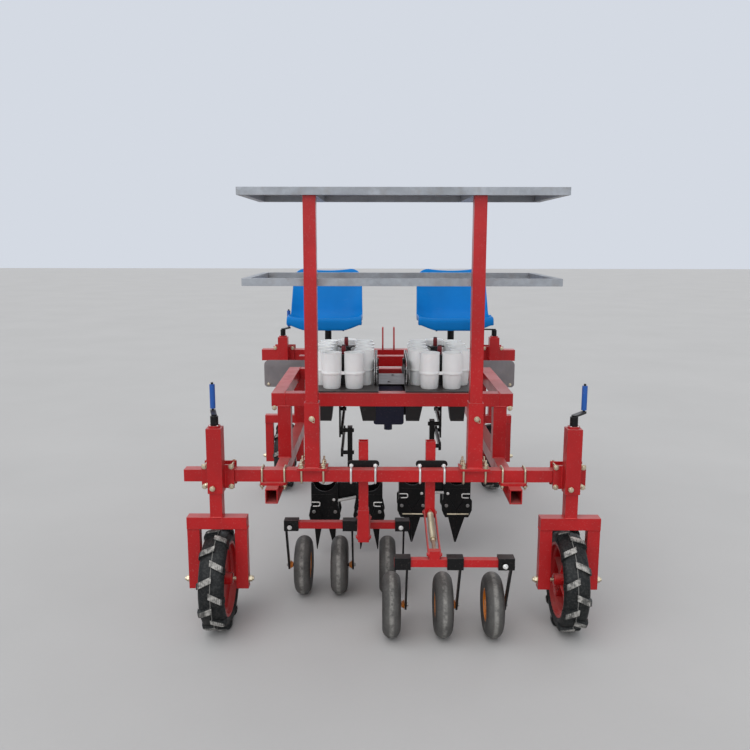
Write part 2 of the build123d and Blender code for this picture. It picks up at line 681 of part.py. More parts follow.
def cup_rings():
    """Each ring of cups, linked by its band."""
    middle_y = (RING_REAR_Y + RING_FRONT_Y) / 2
    straight = RING_FRONT_Y - RING_REAR_Y
    outside = turned_cup((
        (CUP_FOOT_RADIUS, 0),
        (CUP_WAIST_RADIUS, CUP_WAIST),
        (CUP_COLLAR_RADIUS, CUP_WAIST),
        (CUP_COLLAR_RADIUS, CUP_WAIST + CUP_COLLAR),
        (CUP_RADIUS, CUP_WAIST + CUP_COLLAR),
        (CUP_RADIUS, CUP_HEIGHT),
    ))
    inside = turned_cup((
        (CUP_FOOT_RADIUS - CUP_WALL, CUP_WALL),
        (CUP_WAIST_RADIUS - CUP_WALL, CUP_WAIST + CUP_COLLAR),
        (CUP_RADIUS - CUP_WALL, CUP_WAIST + CUP_COLLAR),
        (CUP_RADIUS - CUP_WALL, CUP_HEIGHT),
    ))
    places = [(x, y, CUP_BOTTOM) for x, y in cup_places()]
    with BuildPart() as rings:
        with BuildSketch(Plane.XY.offset(BAND_BOTTOM)):
            with Locations((RING_X, middle_y)):
                SlotCenterToCenter(straight, 2 * RING_RADIUS + BAND_WIDTH, rotation=90)
                SlotCenterToCenter(straight, 2 * RING_RADIUS - BAND_WIDTH, rotation=90, mode=Mode.SUBTRACT)
        extrude(amount=BAND_HEIGHT)
        with Locations(*places):
            add(outside)
        with Locations(*places):
            add(inside, mode=Mode.SUBTRACT)
        mirror(about=Plane.YZ)
    save(rings, "cup_rings")


def cup_trays():
    """The tray that each ring runs on, its two shafts with spiders, and the chain drive on the ring's inner side."""
    middle_y = (RING_REAR_Y + RING_FRONT_Y) / 2
    outer_x = RING_X + RING_RADIUS + CUP_RADIUS + TRAY_MARGIN
    chain_x = RING_X - RING_RADIUS - CUP_COLLAR_RADIUS - CHAIN_GAP - CHAIN_WIDTH
    plate_x = chain_x - CHAIN_WIDTH / 2 - BEARING_PLATE
    chain_run = CHAIN_FRONT_Y - CHAIN_REAR_Y
    beam = RING_BEAM_WIDTH / 2
    with BuildPart() as trays:
        block(plate_x, outer_x, TRAY_REAR_Y, TRAY_FRONT_Y, FRAME_TOP, FRAME_TOP + TRAY_THICKNESS)
        block(
            RING_X - beam, RING_X + beam, RING_REAR_Y, RING_FRONT_Y, BAND_BOTTOM, BAND_BOTTOM + RING_BEAM_HEIGHT,
        )
        for y in (RING_REAR_Y, RING_FRONT_Y):
            rod("Z", (RING_X, y, FRAME_TOP), SPIDER_Z + SPIDER_THICKNESS - FRAME_TOP, SPIDER_HUB_RADIUS)
            rod("Z", (RING_X, y, SPIDER_Z), KNOB_TOP - SPIDER_Z, KNOB_RADIUS)
            with BuildSketch(Plane.XY.offset(SPIDER_Z)):
                with Locations((RING_X, y)):
                    with PolarLocations(0, SPIDER_ARMS, start_angle=90):
                        SlotCenterPoint((SPIDER_RADIUS / 2, 0), (SPIDER_RADIUS - SPIDER_ARM_WIDTH / 2, 0),
                                        SPIDER_ARM_WIDTH)
            extrude(amount=SPIDER_THICKNESS)
        for hole_x in (RING_X - RING_RADIUS, RING_X + RING_RADIUS):
            rod("Z", (hole_x, FUNNEL_Y, FRAME_TOP), TRAY_THICKNESS, DROP_HOLE_RADIUS, Mode.SUBTRACT)
        for y in (CHAIN_REAR_Y, CHAIN_FRONT_Y):
            half = BEARING_PLATE_WIDTH / 2
            block(
                plate_x, plate_x + BEARING_PLATE, y - half, y + half, FRAME_TOP, CHAIN_Z + SPROCKET_BOSS_RADIUS,
            )
            rod("X", (plate_x, y, CHAIN_Z), BEARING_PLATE + CHAIN_WIDTH, SPROCKET_BOSS_RADIUS)
            rod("X", (chain_x + (CHAIN_WIDTH - SPROCKET_THICKNESS) / 2, y, CHAIN_Z), SPROCKET_THICKNESS, CHAIN_RADIUS)
        with BuildSketch(side_plane(chain_x, (CHAIN_REAR_Y + CHAIN_FRONT_Y) / 2, CHAIN_Z)):
            SlotCenterToCenter(chain_run, 2 * (CHAIN_RADIUS + CHAIN_HEIGHT))
            SlotCenterToCenter(chain_run, 2 * CHAIN_RADIUS, mode=Mode.SUBTRACT)
        extrude(amount=CHAIN_WIDTH)
        mirror(about=Plane.YZ)
    save(trays, "cup_trays")


def funnels():
    """Skewed funnels from the drop holes to the planting rows."""
    rows = (  # drop hole x, row x
        (RING_X - RING_RADIUS, INNER_ROW_X),
        (RING_X + RING_RADIUS, OUTER_ROW_X),
    )
    with BuildPart() as all_funnels:
        for hole_x, row_x in rows:
            for grow, mode in ((0, Mode.ADD), (-2 * FUNNEL_WALL, Mode.SUBTRACT)):
                with BuildSketch(Plane.XY.offset(FUNNEL_BOTTOM)):
                    with Locations((row_x, FUNNEL_Y)):
                        Rectangle(FUNNEL_FOOT_SIZE[0] + grow, FUNNEL_FOOT_SIZE[1] + grow)
                with BuildSketch(Plane.XY.offset(FRAME_TOP)):
                    with Locations((hole_x, FUNNEL_Y)):
                        Rectangle(FUNNEL_TOP_SIZE[0] + grow, FUNNEL_TOP_SIZE[1] + grow)
                loft(ruled=True, mode=mode)
        mirror(about=Plane.YZ)
    save(all_funnels, "drop_funnels")


def link_end(side, drop=0):
    """Where a link's pin stands at rest, for the upper link, or drop below it."""
    angle = radians(LINK_REST_ANGLE[side])
    return LINK_PIVOT_Y - LINK_LENGTH * cos(angle), LINK_PIVOT_Z + LINK_LENGTH * sin(angle) - drop


def hangers():
    """The plates that the links turn on, with their pins, and the plate that carries the drive box."""
    pin_start = LINK_INNER_X - LINK_THICKNESS / 2
    foot = LINK_PIVOT_Z - LINK_SPACING - HANGER_REACH
    with BuildPart() as plates:
        for side in (-1, 1):
            with BuildSketch(side_plane(side * HANGER_X)):
                Polygon(
                    (FRAME_BEAM_Y, FRAME_TOP),
                    (FRAME_BEAM_Y, FRAME_BOTTOM - 2 * LINK_EYE_RADIUS),
                    (LINK_PIVOT_Y + HANGER_REACH, foot),
                    (LINK_PIVOT_Y - HANGER_REACH, foot),
                    (LINK_PIVOT_Y - HANGER_REACH, FRAME_TOP),
                    align=None,
                )
            extrude(amount=side * HANGER_THICKNESS)
            for drop in (0, LINK_SPACING):
                start = pin_start if side > 0 else -HANGER_X
                rod("X", (start, LINK_PIVOT_Y, LINK_PIVOT_Z - drop), HANGER_X - pin_start, LINK_PIN_RADIUS)
        block(
            DRIVE_PLATE_LEFT, DRIVE_PLATE_RIGHT, DRIVE_FRONT_Y, DRIVE_FRONT_Y + DRIVE_PLATE,
            DRIVE_BOTTOM + DRIVE_PLATE_RISE, FRAME_BOTTOM,
        )
    save(plates, "hanger_plates")


def links(label, side):
    """The upper and lower link of one unit: a bar with an eye at the pivot and a pin at the carrier."""
    inner = CARRIER_INNER_X - LINK_PIN_REACH
    for name, drop in (("upper", 0), ("lower", LINK_SPACING)):
        end_y, end_z = link_end(side, drop)
        pivot = (LINK_PIVOT_Y, LINK_PIVOT_Z - drop)
        slope = degrees(atan2(end_z - pivot[1], end_y - pivot[0]))
        with BuildPart() as link:
            with BuildSketch(side_plane(side * LINK_INNER_X)):
                with Locations(((end_y + pivot[0]) / 2, (end_z + pivot[1]) / 2)):
                    Rectangle(LINK_LENGTH, LINK_BAR_HEIGHT, rotation=slope)
                with Locations(pivot, (end_y, end_z)):
                    Circle(LINK_EYE_RADIUS)
                with Locations(pivot):
                    Circle(LINK_PIN_RADIUS + RUNNING, mode=Mode.SUBTRACT)
            extrude(amount=side * LINK_THICKNESS)
            start = inner if side > 0 else -LINK_INNER_X
            rod("X", (start, end_y, end_z), LINK_INNER_X - inner, LINK_PIN_RADIUS)
        save(link, f"{name}_link_{label}")


def carrier(label, side):
    """The upright that both links hold, with the block between its two buckets."""
    y, z = link_end(side)
    body_top = z - BUCKET_DROP + BEAK_HEIGHT + BODY_HEIGHT
    block_bottom = body_top - CARRIER_BLOCK_DROP
    x0 = CARRIER_INNER_X if side > 0 else -CARRIER_INNER_X - CARRIER_THICKNESS
    gap_inner = INNER_ROW_X + BUCKET_WIDTH / 2
    gap_outer = OUTER_ROW_X - BUCKET_WIDTH / 2
    upright = CARRIER_DEPTH / 2
    deep = CARRIER_BLOCK_DEPTH / 2
    with BuildPart() as bar:
        block(x0, x0 + CARRIER_THICKNESS, y - upright, y + upright, block_bottom, z + CARRIER_CAP)
        block(
            side * gap_inner, side * gap_outer, y - deep, y + deep, block_bottom, block_bottom + CARRIER_BLOCK_HEIGHT,
        )
        for drop in (0, LINK_SPACING):
            rod("X", (x0, y, z - drop), CARRIER_THICKNESS, LINK_PIN_RADIUS + RUNNING, Mode.SUBTRACT)
    save(bar, f"carrier_{label}")


def buckets(label, side):
    """Two open boxes with horned rims, each with four studs that its jaws hang on."""
    y, z = link_end(side)
    base = z - BUCKET_DROP + BEAK_HEIGHT
    top = base + BODY_HEIGHT + HORN_HEIGHT
    wide, deep = BUCKET_WIDTH / 2, BUCKET_DEPTH / 2
    stud = CHEEK_GAP + CHEEK_THICKNESS + JAW_PIN_END
    with BuildPart() as pair:
        for row in (INNER_ROW_X, OUTER_ROW_X):
            x = side * row
            tube("Z", x - wide, x + wide, y - deep, y + deep, base, top, BUCKET_WALL)
            rod("Y", (x, y - deep, top + HORN_ARC_RISE), BUCKET_DEPTH, HORN_ARC_RADIUS, Mode.SUBTRACT)
            for jaw_side in (-1, 1):
                stud_x = x + jaw_side * JAW_PIN_X
                for start_y in (y - deep - stud, y + deep):
                    rod("Y", (stud_x, start_y, base + JAW_PIN_RISE), stud, JAW_PIN_RADIUS)
    save(pair, f"buckets_{label}")


def jaw(name, x, side, jaw_side):
    """One jaw of a beak: half of a hollow tapered spout under a flange, hung by two cheeks on the bucket's studs."""
    y, z = link_end(side)
    turn = radians(jaw_side * JAW_REST_ANGLE[side])
    pin = (x + jaw_side * JAW_PIN_X, y, z - BUCKET_DROP + BEAK_HEIGHT + JAW_PIN_RISE)
    across = (cos(turn), 0, sin(turn))
    hang = Plane(origin=pin, x_dir=across, z_dir=(-sin(turn), 0, cos(turn)))
    middle = -jaw_side * JAW_PIN_X
    half = BEAK_WIDTH / 2
    flange_top = -JAW_PIN_RISE - SWING
    spout_top = flange_top - JAW_FLANGE
    tip = -JAW_PIN_RISE - BEAK_HEIGHT
    spout = spout_top - tip
    inner_spout = spout - BEAK_SHUT
    taper = degrees(atan((BEAK_WIDTH - BEAK_TIP) / 2 / spout))
    inner_taper = degrees(atan((half - 2 * JAW_WALL) / inner_spout))
    cheek_inner = BUCKET_DEPTH / 2 + CHEEK_GAP
    cheek_outer = cheek_inner + CHEEK_THICKNESS
    reach = middle + jaw_side * JAW_FLANGE_REACH
    cheek_low = (middle + jaw_side * JAW_GAP / 2, spout_top)
    with BuildPart() as piece:
        with BuildSketch(hang.offset(flange_top)):
            with Locations((middle, 0)):
                Rectangle(2 * JAW_FLANGE_REACH, 2 * cheek_outer)
        extrude(amount=-JAW_FLANGE)
        with BuildSketch(hang.offset(spout_top)):
            with Locations((middle, 0)):
                Rectangle(BEAK_WIDTH, BEAK_WIDTH)
        extrude(amount=-spout, taper=taper)
        with BuildSketch(hang.offset(flange_top)):
            with Locations((middle, 0)):
                Rectangle(BEAK_WIDTH - 2 * JAW_WALL, BEAK_WIDTH - 2 * JAW_WALL)
        extrude(amount=-inner_spout, taper=inner_taper, mode=Mode.SUBTRACT)
        with BuildSketch(hang.offset(tip)):
            with Locations((middle + jaw_side * (JAW_GAP / 2 - JAW_FLANGE_REACH), 0)):
                Rectangle(2 * JAW_FLANGE_REACH, 2 * cheek_outer)
        extrude(amount=flange_top - tip, mode=Mode.SUBTRACT)
        for start in (-cheek_outer, cheek_inner):
            with BuildSketch(Plane(origin=pin, x_dir=across, z_dir=(0, -1, 0)).offset(-start)):
                Polygon(
                    cheek_low,
                    (reach, spout_top),
                    (middle + jaw_side * CHEEK_REACH, -JAW_PIN_RISE / 2),
                    (middle + jaw_side * CHEEK_REACH, CHEEK_LEVER / 2),
                    (jaw_side * CHEEK_THICKNESS, CHEEK_LEVER),
                    (-jaw_side * CHEEK_THICKNESS, CHEEK_LEVER),
                    (middle + jaw_side * JAW_WALL, -JAW_PIN_RISE / 2),
                    align=None,
                )
                Circle(JAW_PIN_RADIUS + RUNNING, mode=Mode.SUBTRACT)
            extrude(amount=-CHEEK_THICKNESS)
    save(piece, name)


def planting_units():
    """The hangers, and each unit's links, carrier, buckets and jaws."""
    hangers()
    for label, side in (("left", -1), ("right", 1)):
        links(label, side)
        carrier(label, side)
        buckets(label, side)
        for row_name, row_x in (("inner", INNER_ROW_X), ("outer", OUTER_ROW_X)):
            for jaw_name, jaw_side in (("left", -1), ("right", 1)):
                jaw(f"jaw_{label}_{row_name}_{jaw_name}", side * row_x, side, jaw_side)


def jack_sleeves():
    """The sleeve of each screw jack, its cap and bearing, and the plates that clamp it to its bar."""
    half = SLEEVE_TUBE / 2
    wide = CLAMP_PLATE_WIDTH / 2
    with BuildPart() as sleeves:
        for jack in JACKS:
            x, y = jack.x, jack.y
            low, high = jack.bar_bottom - CLAMP_OVERLAP, jack.bar_bottom + jack.bar_height + CLAMP_OVERLAP
            back = jack.bar_y + jack.bar_height
            tube("Z", x - half, x + half, y - half, y + half, jack.sleeve_bottom, jack.sleeve_top, SLEEVE_WALL)
            block(x - half, x + half, y - half, y + half, jack.sleeve_top - CAP_THICKNESS, jack.sleeve_top)
            rod("Z", (x, y, jack.sleeve_top), BEARING_HEIGHT, BEARING_RADIUS)
            block(x - wide, x + wide, jack.bar_y - CLAMP_PLATE, jack.bar_y, low, high)
            block(x - wide, x + wide, back, back + BACK_PLATE, low, high)
            bore = (x, y, jack.sleeve_top - CAP_THICKNESS)
            rod("Z", bore, CAP_THICKNESS + BEARING_HEIGHT, SCREW_RADIUS + RUNNING, Mode.SUBTRACT)
    save(sleeves, "jack_sleeves")


def forks():
    """Each wheel's fork, an arch over the tyre, and the stem on it that slides in the sleeve."""
    stem = STEM_TUBE / 2
    leg = FORK_LEG_DEPTH / 2
    wide = FORK_WIDTH / 2
    crown = FORK_TOP - FORK_TUBE
    with BuildPart() as arches:
        for jack in JACKS:
            x, y = jack.x, jack.y
            block(x - wide, x + wide, y - stem, y + stem, crown, FORK_TOP)
            for side in (-1, 1):
                outer = x + side * wide
                block(outer, outer - side * FORK_TUBE, y - leg, y + leg, FORK_LEG_BOTTOM, crown)
            rod("X", (x - wide, y, WHEEL_RADIUS), FORK_WIDTH, AXLE_RADIUS + RUNNING, Mode.SUBTRACT)
    save(arches, "wheel_forks")
    with BuildPart() as stems:
        for jack in JACKS:
            x, y = jack.x, jack.y
            top = jack.sleeve_top - SCREW_DEPTH
            tube("Z", x - stem, x + stem, y - stem, y + stem, FORK_TOP, top, STEM_WALL)
    save(stems, "fork_stems")


def cranks():
    """The crank of each screw jack: the screw's end, its socket, the arm, and the handle with its grip."""
    handles = []
    with BuildPart() as rods:
        for jack in JACKS:
            x, y = jack.x, jack.y
            seat = jack.sleeve_top + BEARING_HEIGHT + SLIP
            arm_z = seat + CRANK_RISE - CRANK_BAR_THICKNESS
            turn = radians(jack.crank_angle)
            end = (x + CRANK_ARM * cos(turn), y + CRANK_ARM * sin(turn))
            handles.append((*end, arm_z))
            rod("Z", (x, y, jack.sleeve_top - SCREW_DEPTH), arm_z - jack.sleeve_top + SCREW_DEPTH, SCREW_RADIUS)
            rod("Z", (x, y, seat), arm_z - seat, SOCKET_RADIUS)
            with BuildSketch(Plane.XY.offset(arm_z)):
                SlotCenterToCenter(CRANK_ARM, CRANK_BAR_WIDTH, rotation=jack.crank_angle, mode=Mode.PRIVATE)
                with Locations(((x + end[0]) / 2, (y + end[1]) / 2)):
                    SlotCenterToCenter(CRANK_ARM, CRANK_BAR_WIDTH, rotation=jack.crank_angle)
            extrude(amount=CRANK_BAR_THICKNESS)
            rod("Z", (*end, arm_z), GRIP_RISE + GRIP_LENGTH + CRANK_BAR_THICKNESS, CRANK_ROD_RADIUS)
    save(rods, "jack_cranks")
    with BuildPart() as grips:
        for x, y, z in handles:
            rod("Z", (x, y, z + GRIP_RISE), GRIP_LENGTH, GRIP_RADIUS)
            rod("Z", (x, y, z + GRIP_RISE), GRIP_LENGTH, CRANK_ROD_RADIUS + RUNNING, Mode.SUBTRACT)
    save(grips, "crank_grips")


def axles():
    """The axle bolt of each ground wheel, with a nut at both ends."""
    wide = FORK_WIDTH / 2
    with BuildPart() as bolts:
        for jack in JACKS:
            rod("X", (jack.x - AXLE_REACH, jack.y, WHEEL_RADIUS), 2 * AXLE_REACH, AXLE_RADIUS)
            for start in (jack.x + wide, jack.x - wide - NUT_LENGTH):
                with BuildSketch(side_plane(start, jack.y, WHEEL_RADIUS)):
                    RegularPolygon(NUT_RADIUS, 6)
                extrude(amount=NUT_LENGTH)
    save(bolts, "wheel_axles")


def tread_profile(radius, shoulder):
    """Outline of half of the tyre's section, from the crown to the bead, as points of width and radius."""
    half = WHEEL_WIDTH / 2
    rim = RIM_WIDTH / 2
    widest = (WHEEL_RADIUS + RIM_RADIUS) / 2
    bead = RIM_RADIUS + RIM_LIP + RIM_WALL
    right = ((TREAD_HALF, radius), (half - SIDE_DRAW, shoulder), (half, widest), (rim, bead), (rim, RIM_RADIUS))
    left = tuple((-width, height) for width, height in reversed(right))
    return right + left


def lug_row(row):
    """One row of slanted lugs, straight sided and wider than the tyre, before it is trimmed."""
    root = WHEEL_RADIUS - LUG_HEIGHT - LUG_ROOT
    step = 360 / LUG_COUNT
    phase = 0 if row < 0 else step / 2
    planes = [Plane.XY.rotated((phase + n * step, 0, 0)).offset(root) for n in range(LUG_COUNT)]
    half = LUG_THICKNESS / 2
    inner, outer = row * LUG_SEAM, row * WHEEL_WIDTH
    lean = LUG_LEAN * WHEEL_WIDTH / (WHEEL_WIDTH / 2)
    middle = LUG_LEAN / 2
    with BuildPart() as lugs:
        with BuildSketch(*planes):
            Polygon(
                (inner, middle + half), (inner, middle - half), (outer, middle - half - lean),
                (outer, middle + half - lean), align=None,
            )
        extrude(amount=2 * LUG_HEIGHT)
    return lugs.part


def ground_tyre():
    """A ground wheel's tyre on the X axis: the carcass, and two staggered rows of slanted lugs."""
    with BuildPart() as envelope:
        with BuildSketch(Plane.XY):
            Polygon(*tread_profile(WHEEL_RADIUS, WHEEL_RADIUS - SHOULDER_DROP), align=None)
        revolve(axis=Axis.X)
    with BuildPart() as tyre:
        for row in (-1, 1):
            add(lug_row(row))
        add(envelope.part, mode=Mode.INTERSECT)
        with BuildSketch(Plane.XY):
            Polygon(*tread_profile(WHEEL_RADIUS - LUG_HEIGHT, WHEEL_RADIUS - SHOULDER_DROP - LUG_HEIGHT / 2),
                    align=None)
        revolve(axis=Axis.X)
    return tyre.part


def ground_rim():
    """A ground wheel's rim on the X axis: the barrel with its lips, the dished and ribbed disc, and the hub."""
    outer = RIM_RADIUS - SLIP
    inner = outer - RIM_WALL
    bore = AXLE_RADIUS + RUNNING
    half = RIM_WIDTH / 2
    with BuildPart() as rim:
        with BuildSketch(Plane.XY):
            with Locations((0, outer - RIM_WALL / 2)):
                Rectangle(RIM_WIDTH + 2 * (SLIP + RIM_WALL), RIM_WALL)
            for side in (-1, 1):
                with Locations((side * (half + SLIP + RIM_WALL / 2), (inner + RIM_RADIUS + RIM_LIP) / 2)):
                    Rectangle(RIM_WALL, RIM_RADIUS + RIM_LIP - inner)
            with BuildLine():
                Polyline(
                    (RIM_DISH, inner), (RIM_DISH + RIM_DISC, inner), (RIM_DISC, HUB_RADIUS), (0, HUB_RADIUS),
                    close=True,
                )
            make_face()
            with Locations((0, (HUB_RADIUS + bore) / 2)):
                Rectangle(HUB_LENGTH, HUB_RADIUS - bore)
        revolve(axis=Axis.X)
        with BuildSketch(Plane.YZ.offset(-half + RIM_DISH)):
            with PolarLocations((inner + HUB_RADIUS) / 2, RIM_RIBS):
                Rectangle(inner - HUB_RADIUS + RIM_WALL, RIB_THICKNESS)
        extrude(amount=half)
    return rim.part


def ground_wheels():
    """The four ground wheels."""
    tyre, rim = ground_tyre(), ground_rim()
    for jack in JACKS:
        for name, master in (("tyre", tyre), ("rim", rim)):
            with BuildPart() as wheel:
                with Locations((jack.x, jack.y, WHEEL_RADIUS)):
                    add(master)
            save(wheel, f"{name}_{jack.name}")


def gang_frames():
    """Each gang's stem on the rear bar, the pair of links at its foot, and the cross bar that they carry."""
    half = GANG_TUBE / 2
    stem = GANG_STEM / 2
    foot = GANG_FOOT_SLEEVE / 2
    stem_y = REAR_BAR_BACK + stem
    with BuildPart() as frames:
        for gang in GANGS:
            x, bottom = gang.stem_x, gang.stem_bottom
            if gang.bar_y > REAR_BAR_BACK:
                tube(
                    "Z", x - foot, x + foot, stem_y - foot, stem_y + foot, bottom, bottom + GANG_FOOT_LENGTH,
                    (GANG_FOOT_SLEEVE - GANG_STEM) / 2,
                )
            tube(
                "Z", x - stem, x + stem, REAR_BAR_BACK, REAR_BAR_BACK + GANG_STEM, bottom, GANG_STEM_TOP,
                GANG_STEM_WALL,
            )
            y, z = gang.bar_y, gang.bar_z
            tube("X", gang.bar_left, gang.bar_right, y - half, y + half, z - half, z + half, GANG_WALL)
            block(x - stem, x + stem, y - CLEVIS_DEPTH / 2, y + CLEVIS_DEPTH / 2, z + half, z + half + CLEVIS_HEIGHT)
            upper = (stem_y, bottom + GANG_PIN_RISE)
            lower = (y, z + half + GANG_PIN_RISE)
            run = ((upper[0] - lower[0]) ** 2 + (upper[1] - lower[1]) ** 2) ** 0.5
            slope = degrees(atan2(upper[1] - lower[1], upper[0] - lower[0]))
            inside = foot if gang.bar_y > REAR_BAR_BACK else stem
            for start in (x + inside, x - inside - GANG_LINK_THICKNESS):
                with BuildSketch(side_plane(start, (upper[0] + lower[0]) / 2, (upper[1] + lower[1]) / 2)):
                    SlotCenterToCenter(run, GANG_LINK_WIDTH, rotation=slope)
                extrude(amount=GANG_LINK_THICKNESS)
            reach = inside + GANG_LINK_THICKNESS + GANG_PIN_END
            for pin_y, pin_z in (upper, lower):
                rod("X", (x - reach, pin_y, pin_z), 2 * reach, GANG_PIN_RADIUS)
    save(frames, "press_gang_frames")


def wheel_straps():
    """The clamp that each press wheel hangs from, its strap and the stub that the wheel turns on."""
    inner = GANG_TUBE / 2 + SLIP
    outer = inner + CLAMP_WALL
    wide = CLAMP_WIDTH / 2
    strap = STRAP_WIDTH / 2
    with BuildPart() as straps:
        for gang in GANGS:
            y, z = gang.bar_y, gang.bar_z
            for wheel_x, clamp_x, strap_x in gang.wheels:
                block(clamp_x - wide, clamp_x + wide, y - outer, y + outer, z - outer, z + outer)
                block(clamp_x - wide, clamp_x + wide, y - inner, y + inner, z - inner, z + inner, Mode.SUBTRACT)
                with BuildSketch(side_plane(strap_x - STRAP_THICKNESS / 2)):
                    Polygon(
                        (y - strap, z - outer),
                        (y + strap, z - outer),
                        (gang.wheel_y + strap, PRESS_RADIUS - STRAP_DROP),
                        (gang.wheel_y - strap, PRESS_RADIUS - STRAP_DROP),
                        align=None,
                    )
                extrude(amount=STRAP_THICKNESS)
                start = strap_x if strap_x < wheel_x else wheel_x - STUB_END
                length = abs(strap_x - wheel_x) + STUB_END
                rod("X", (start, gang.wheel_y, PRESS_RADIUS), length, STUB_RADIUS)
    save(straps, "wheel_straps")


def press_tyre():
    """A press wheel's tyre on the X axis, smooth and half round."""
    half = PRESS_WIDTH / 2
    seat = half - PRESS_SEAT_INSET
    shoulder = PRESS_SHOULDER_RADIUS
    with BuildPart() as tyre:
        with BuildSketch(Plane.XY):
            with BuildLine():
                Polyline((half, shoulder), (seat, PRESS_RIM_RADIUS), (-seat, PRESS_RIM_RADIUS), (-half, shoulder))
                ThreePointArc((-half, shoulder), (0, PRESS_RADIUS), (half, shoulder))
            make_face()
        revolve(axis=Axis.X)
    return tyre.part


def press_hub():
    """A press wheel's pressed rim on the X axis, with its ribbed disc and hub."""
    outer = PRESS_RIM_RADIUS - SLIP
    inner = outer - PRESS_RIM_WALL
    bore = STUB_RADIUS + RUNNING
    rim = PRESS_WIDTH - 2 * PRESS_SEAT_INSET
    with BuildPart() as hub:
        with BuildSketch(Plane.XY):
            with Locations((0, (outer + inner) / 2)):
                Rectangle(rim, PRESS_RIM_WALL)
            with Locations((0, (inner + bore) / 2)):
                Rectangle(PRESS_DISC, inner - bore)
            with Locations((0, (PRESS_HUB_RADIUS + bore) / 2)):
                Rectangle(PRESS_HUB_LENGTH, PRESS_HUB_RADIUS - bore)
        revolve(axis=Axis.X)
        with BuildSketch(Plane.YZ.offset(-rim / 3)):
            with PolarLocations((inner + PRESS_HUB_RADIUS) / 2, PRESS_RIBS):
                Rectangle(inner - PRESS_HUB_RADIUS + PRESS_RIM_WALL, PRESS_DISC)
        extrude(amount=2 * rim / 3)
    return hub.part


def press_wheels():
    """The six press wheels."""
    tyre, hub = press_tyre(), press_hub()
    for gang in GANGS:
        for number, (wheel_x, _, _) in enumerate(gang.wheels, 1):
            for name, master in (("press_tyre", tyre), ("press_hub", hub)):
                with BuildPart() as wheel:
                    with Locations((wheel_x, gang.wheel_y, PRESS_RADIUS)):
                        add(master)
                save(wheel, f"{name}_{gang.name}_{number}")


def main():
    tool_bars()
    side_rails()
    cross_rails()
    frame_legs()
    seat_pillars()
    seats()
    guard_plates()
    drive_box()
    hitch()
    tray_racks()
    cup_rings()
    cup_trays()
    funnels()
    planting_units()
    jack_sleeves()
    forks()
    cranks()
    axles()
    ground_wheels()
    gang_frames()
    wheel_straps()
    press_wheels()
    os.makedirs("parts", exist_ok=True)
    for label, part in NODES.items():
        export_step(part, f"parts/{label}.step")


main()
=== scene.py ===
"""Finishes, fasteners and small fittings of a four-row vegetable transplanter, with its stage.

Tables are in millimetres in the machine's own frame: +X right, +Y the direction of travel, +Z up.
"""
import json
from collections import namedtuple
from math import atan2, cos, pi, radians, sin, sqrt, tau

import bmesh
import bpy
from mathutils import Euler, Matrix, Vector


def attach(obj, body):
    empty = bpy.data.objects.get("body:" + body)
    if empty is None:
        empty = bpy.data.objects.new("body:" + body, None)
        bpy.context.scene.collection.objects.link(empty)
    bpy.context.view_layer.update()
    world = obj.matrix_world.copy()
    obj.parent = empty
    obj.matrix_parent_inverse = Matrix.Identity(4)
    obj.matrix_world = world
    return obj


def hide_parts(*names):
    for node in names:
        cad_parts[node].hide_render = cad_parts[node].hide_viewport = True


bl_info = {
    "name": "Vegetable transplanter",
    "version": (1, 0, 0),
    "blender": (4, 5, 0),
    "location": "View3D > Sidebar > Transplanter",
    "description": "Paint, fasteners and small fittings of a four-row vegetable transplanter",
    "category": "Object",
}

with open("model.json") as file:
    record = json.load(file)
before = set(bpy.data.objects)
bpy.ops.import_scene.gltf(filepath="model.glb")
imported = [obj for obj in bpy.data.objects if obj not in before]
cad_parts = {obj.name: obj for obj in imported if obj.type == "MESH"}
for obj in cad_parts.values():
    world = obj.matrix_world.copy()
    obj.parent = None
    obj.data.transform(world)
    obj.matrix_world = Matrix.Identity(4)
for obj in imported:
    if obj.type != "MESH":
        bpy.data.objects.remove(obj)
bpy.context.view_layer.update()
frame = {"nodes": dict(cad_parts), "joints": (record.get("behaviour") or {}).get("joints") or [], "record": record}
NODES = frame["nodes"]
JOINTS = {joint["child"]: joint for joint in frame["joints"]}
BODIES = frame["record"]["behaviour"]["bodies"]
HOLDER = {name: body for body, names in BODIES.items() for name in names}

MM = 0.001
LOOK = "look_"  # sets these materials apart from the plain ones that the frame comes with

# Which finish a solid gets, by the start of its name, where that says more than its slot
FINISH_BY_NAME = (
    ("cup_rings", "cup_plastic"), ("cup_trays", "black_plastic"), ("seats", "seat_plastic"),
    ("crank_grips", "grip_plastic"), ("tray_racks", "galvanised"), ("wheel_axles", "zinc"),
    ("side_guards", "grey_steel"), ("drive_box", "navy_paint"), ("press_hub", "orange_paint"),
    ("rim_", "red_paint"), ("buckets", "black_paint"), ("jaw_", "black_paint"),
    ("drop_funnels", "black_plastic"), ("seat_pillars", "black_paint"), ("upper_link", "black_paint"),
    ("lower_link", "black_paint"), ("carrier", "black_paint"), ("hanger", "black_paint"),
    ("jack_cranks", "black_paint"), ("wheel_straps", "black_paint"),
)

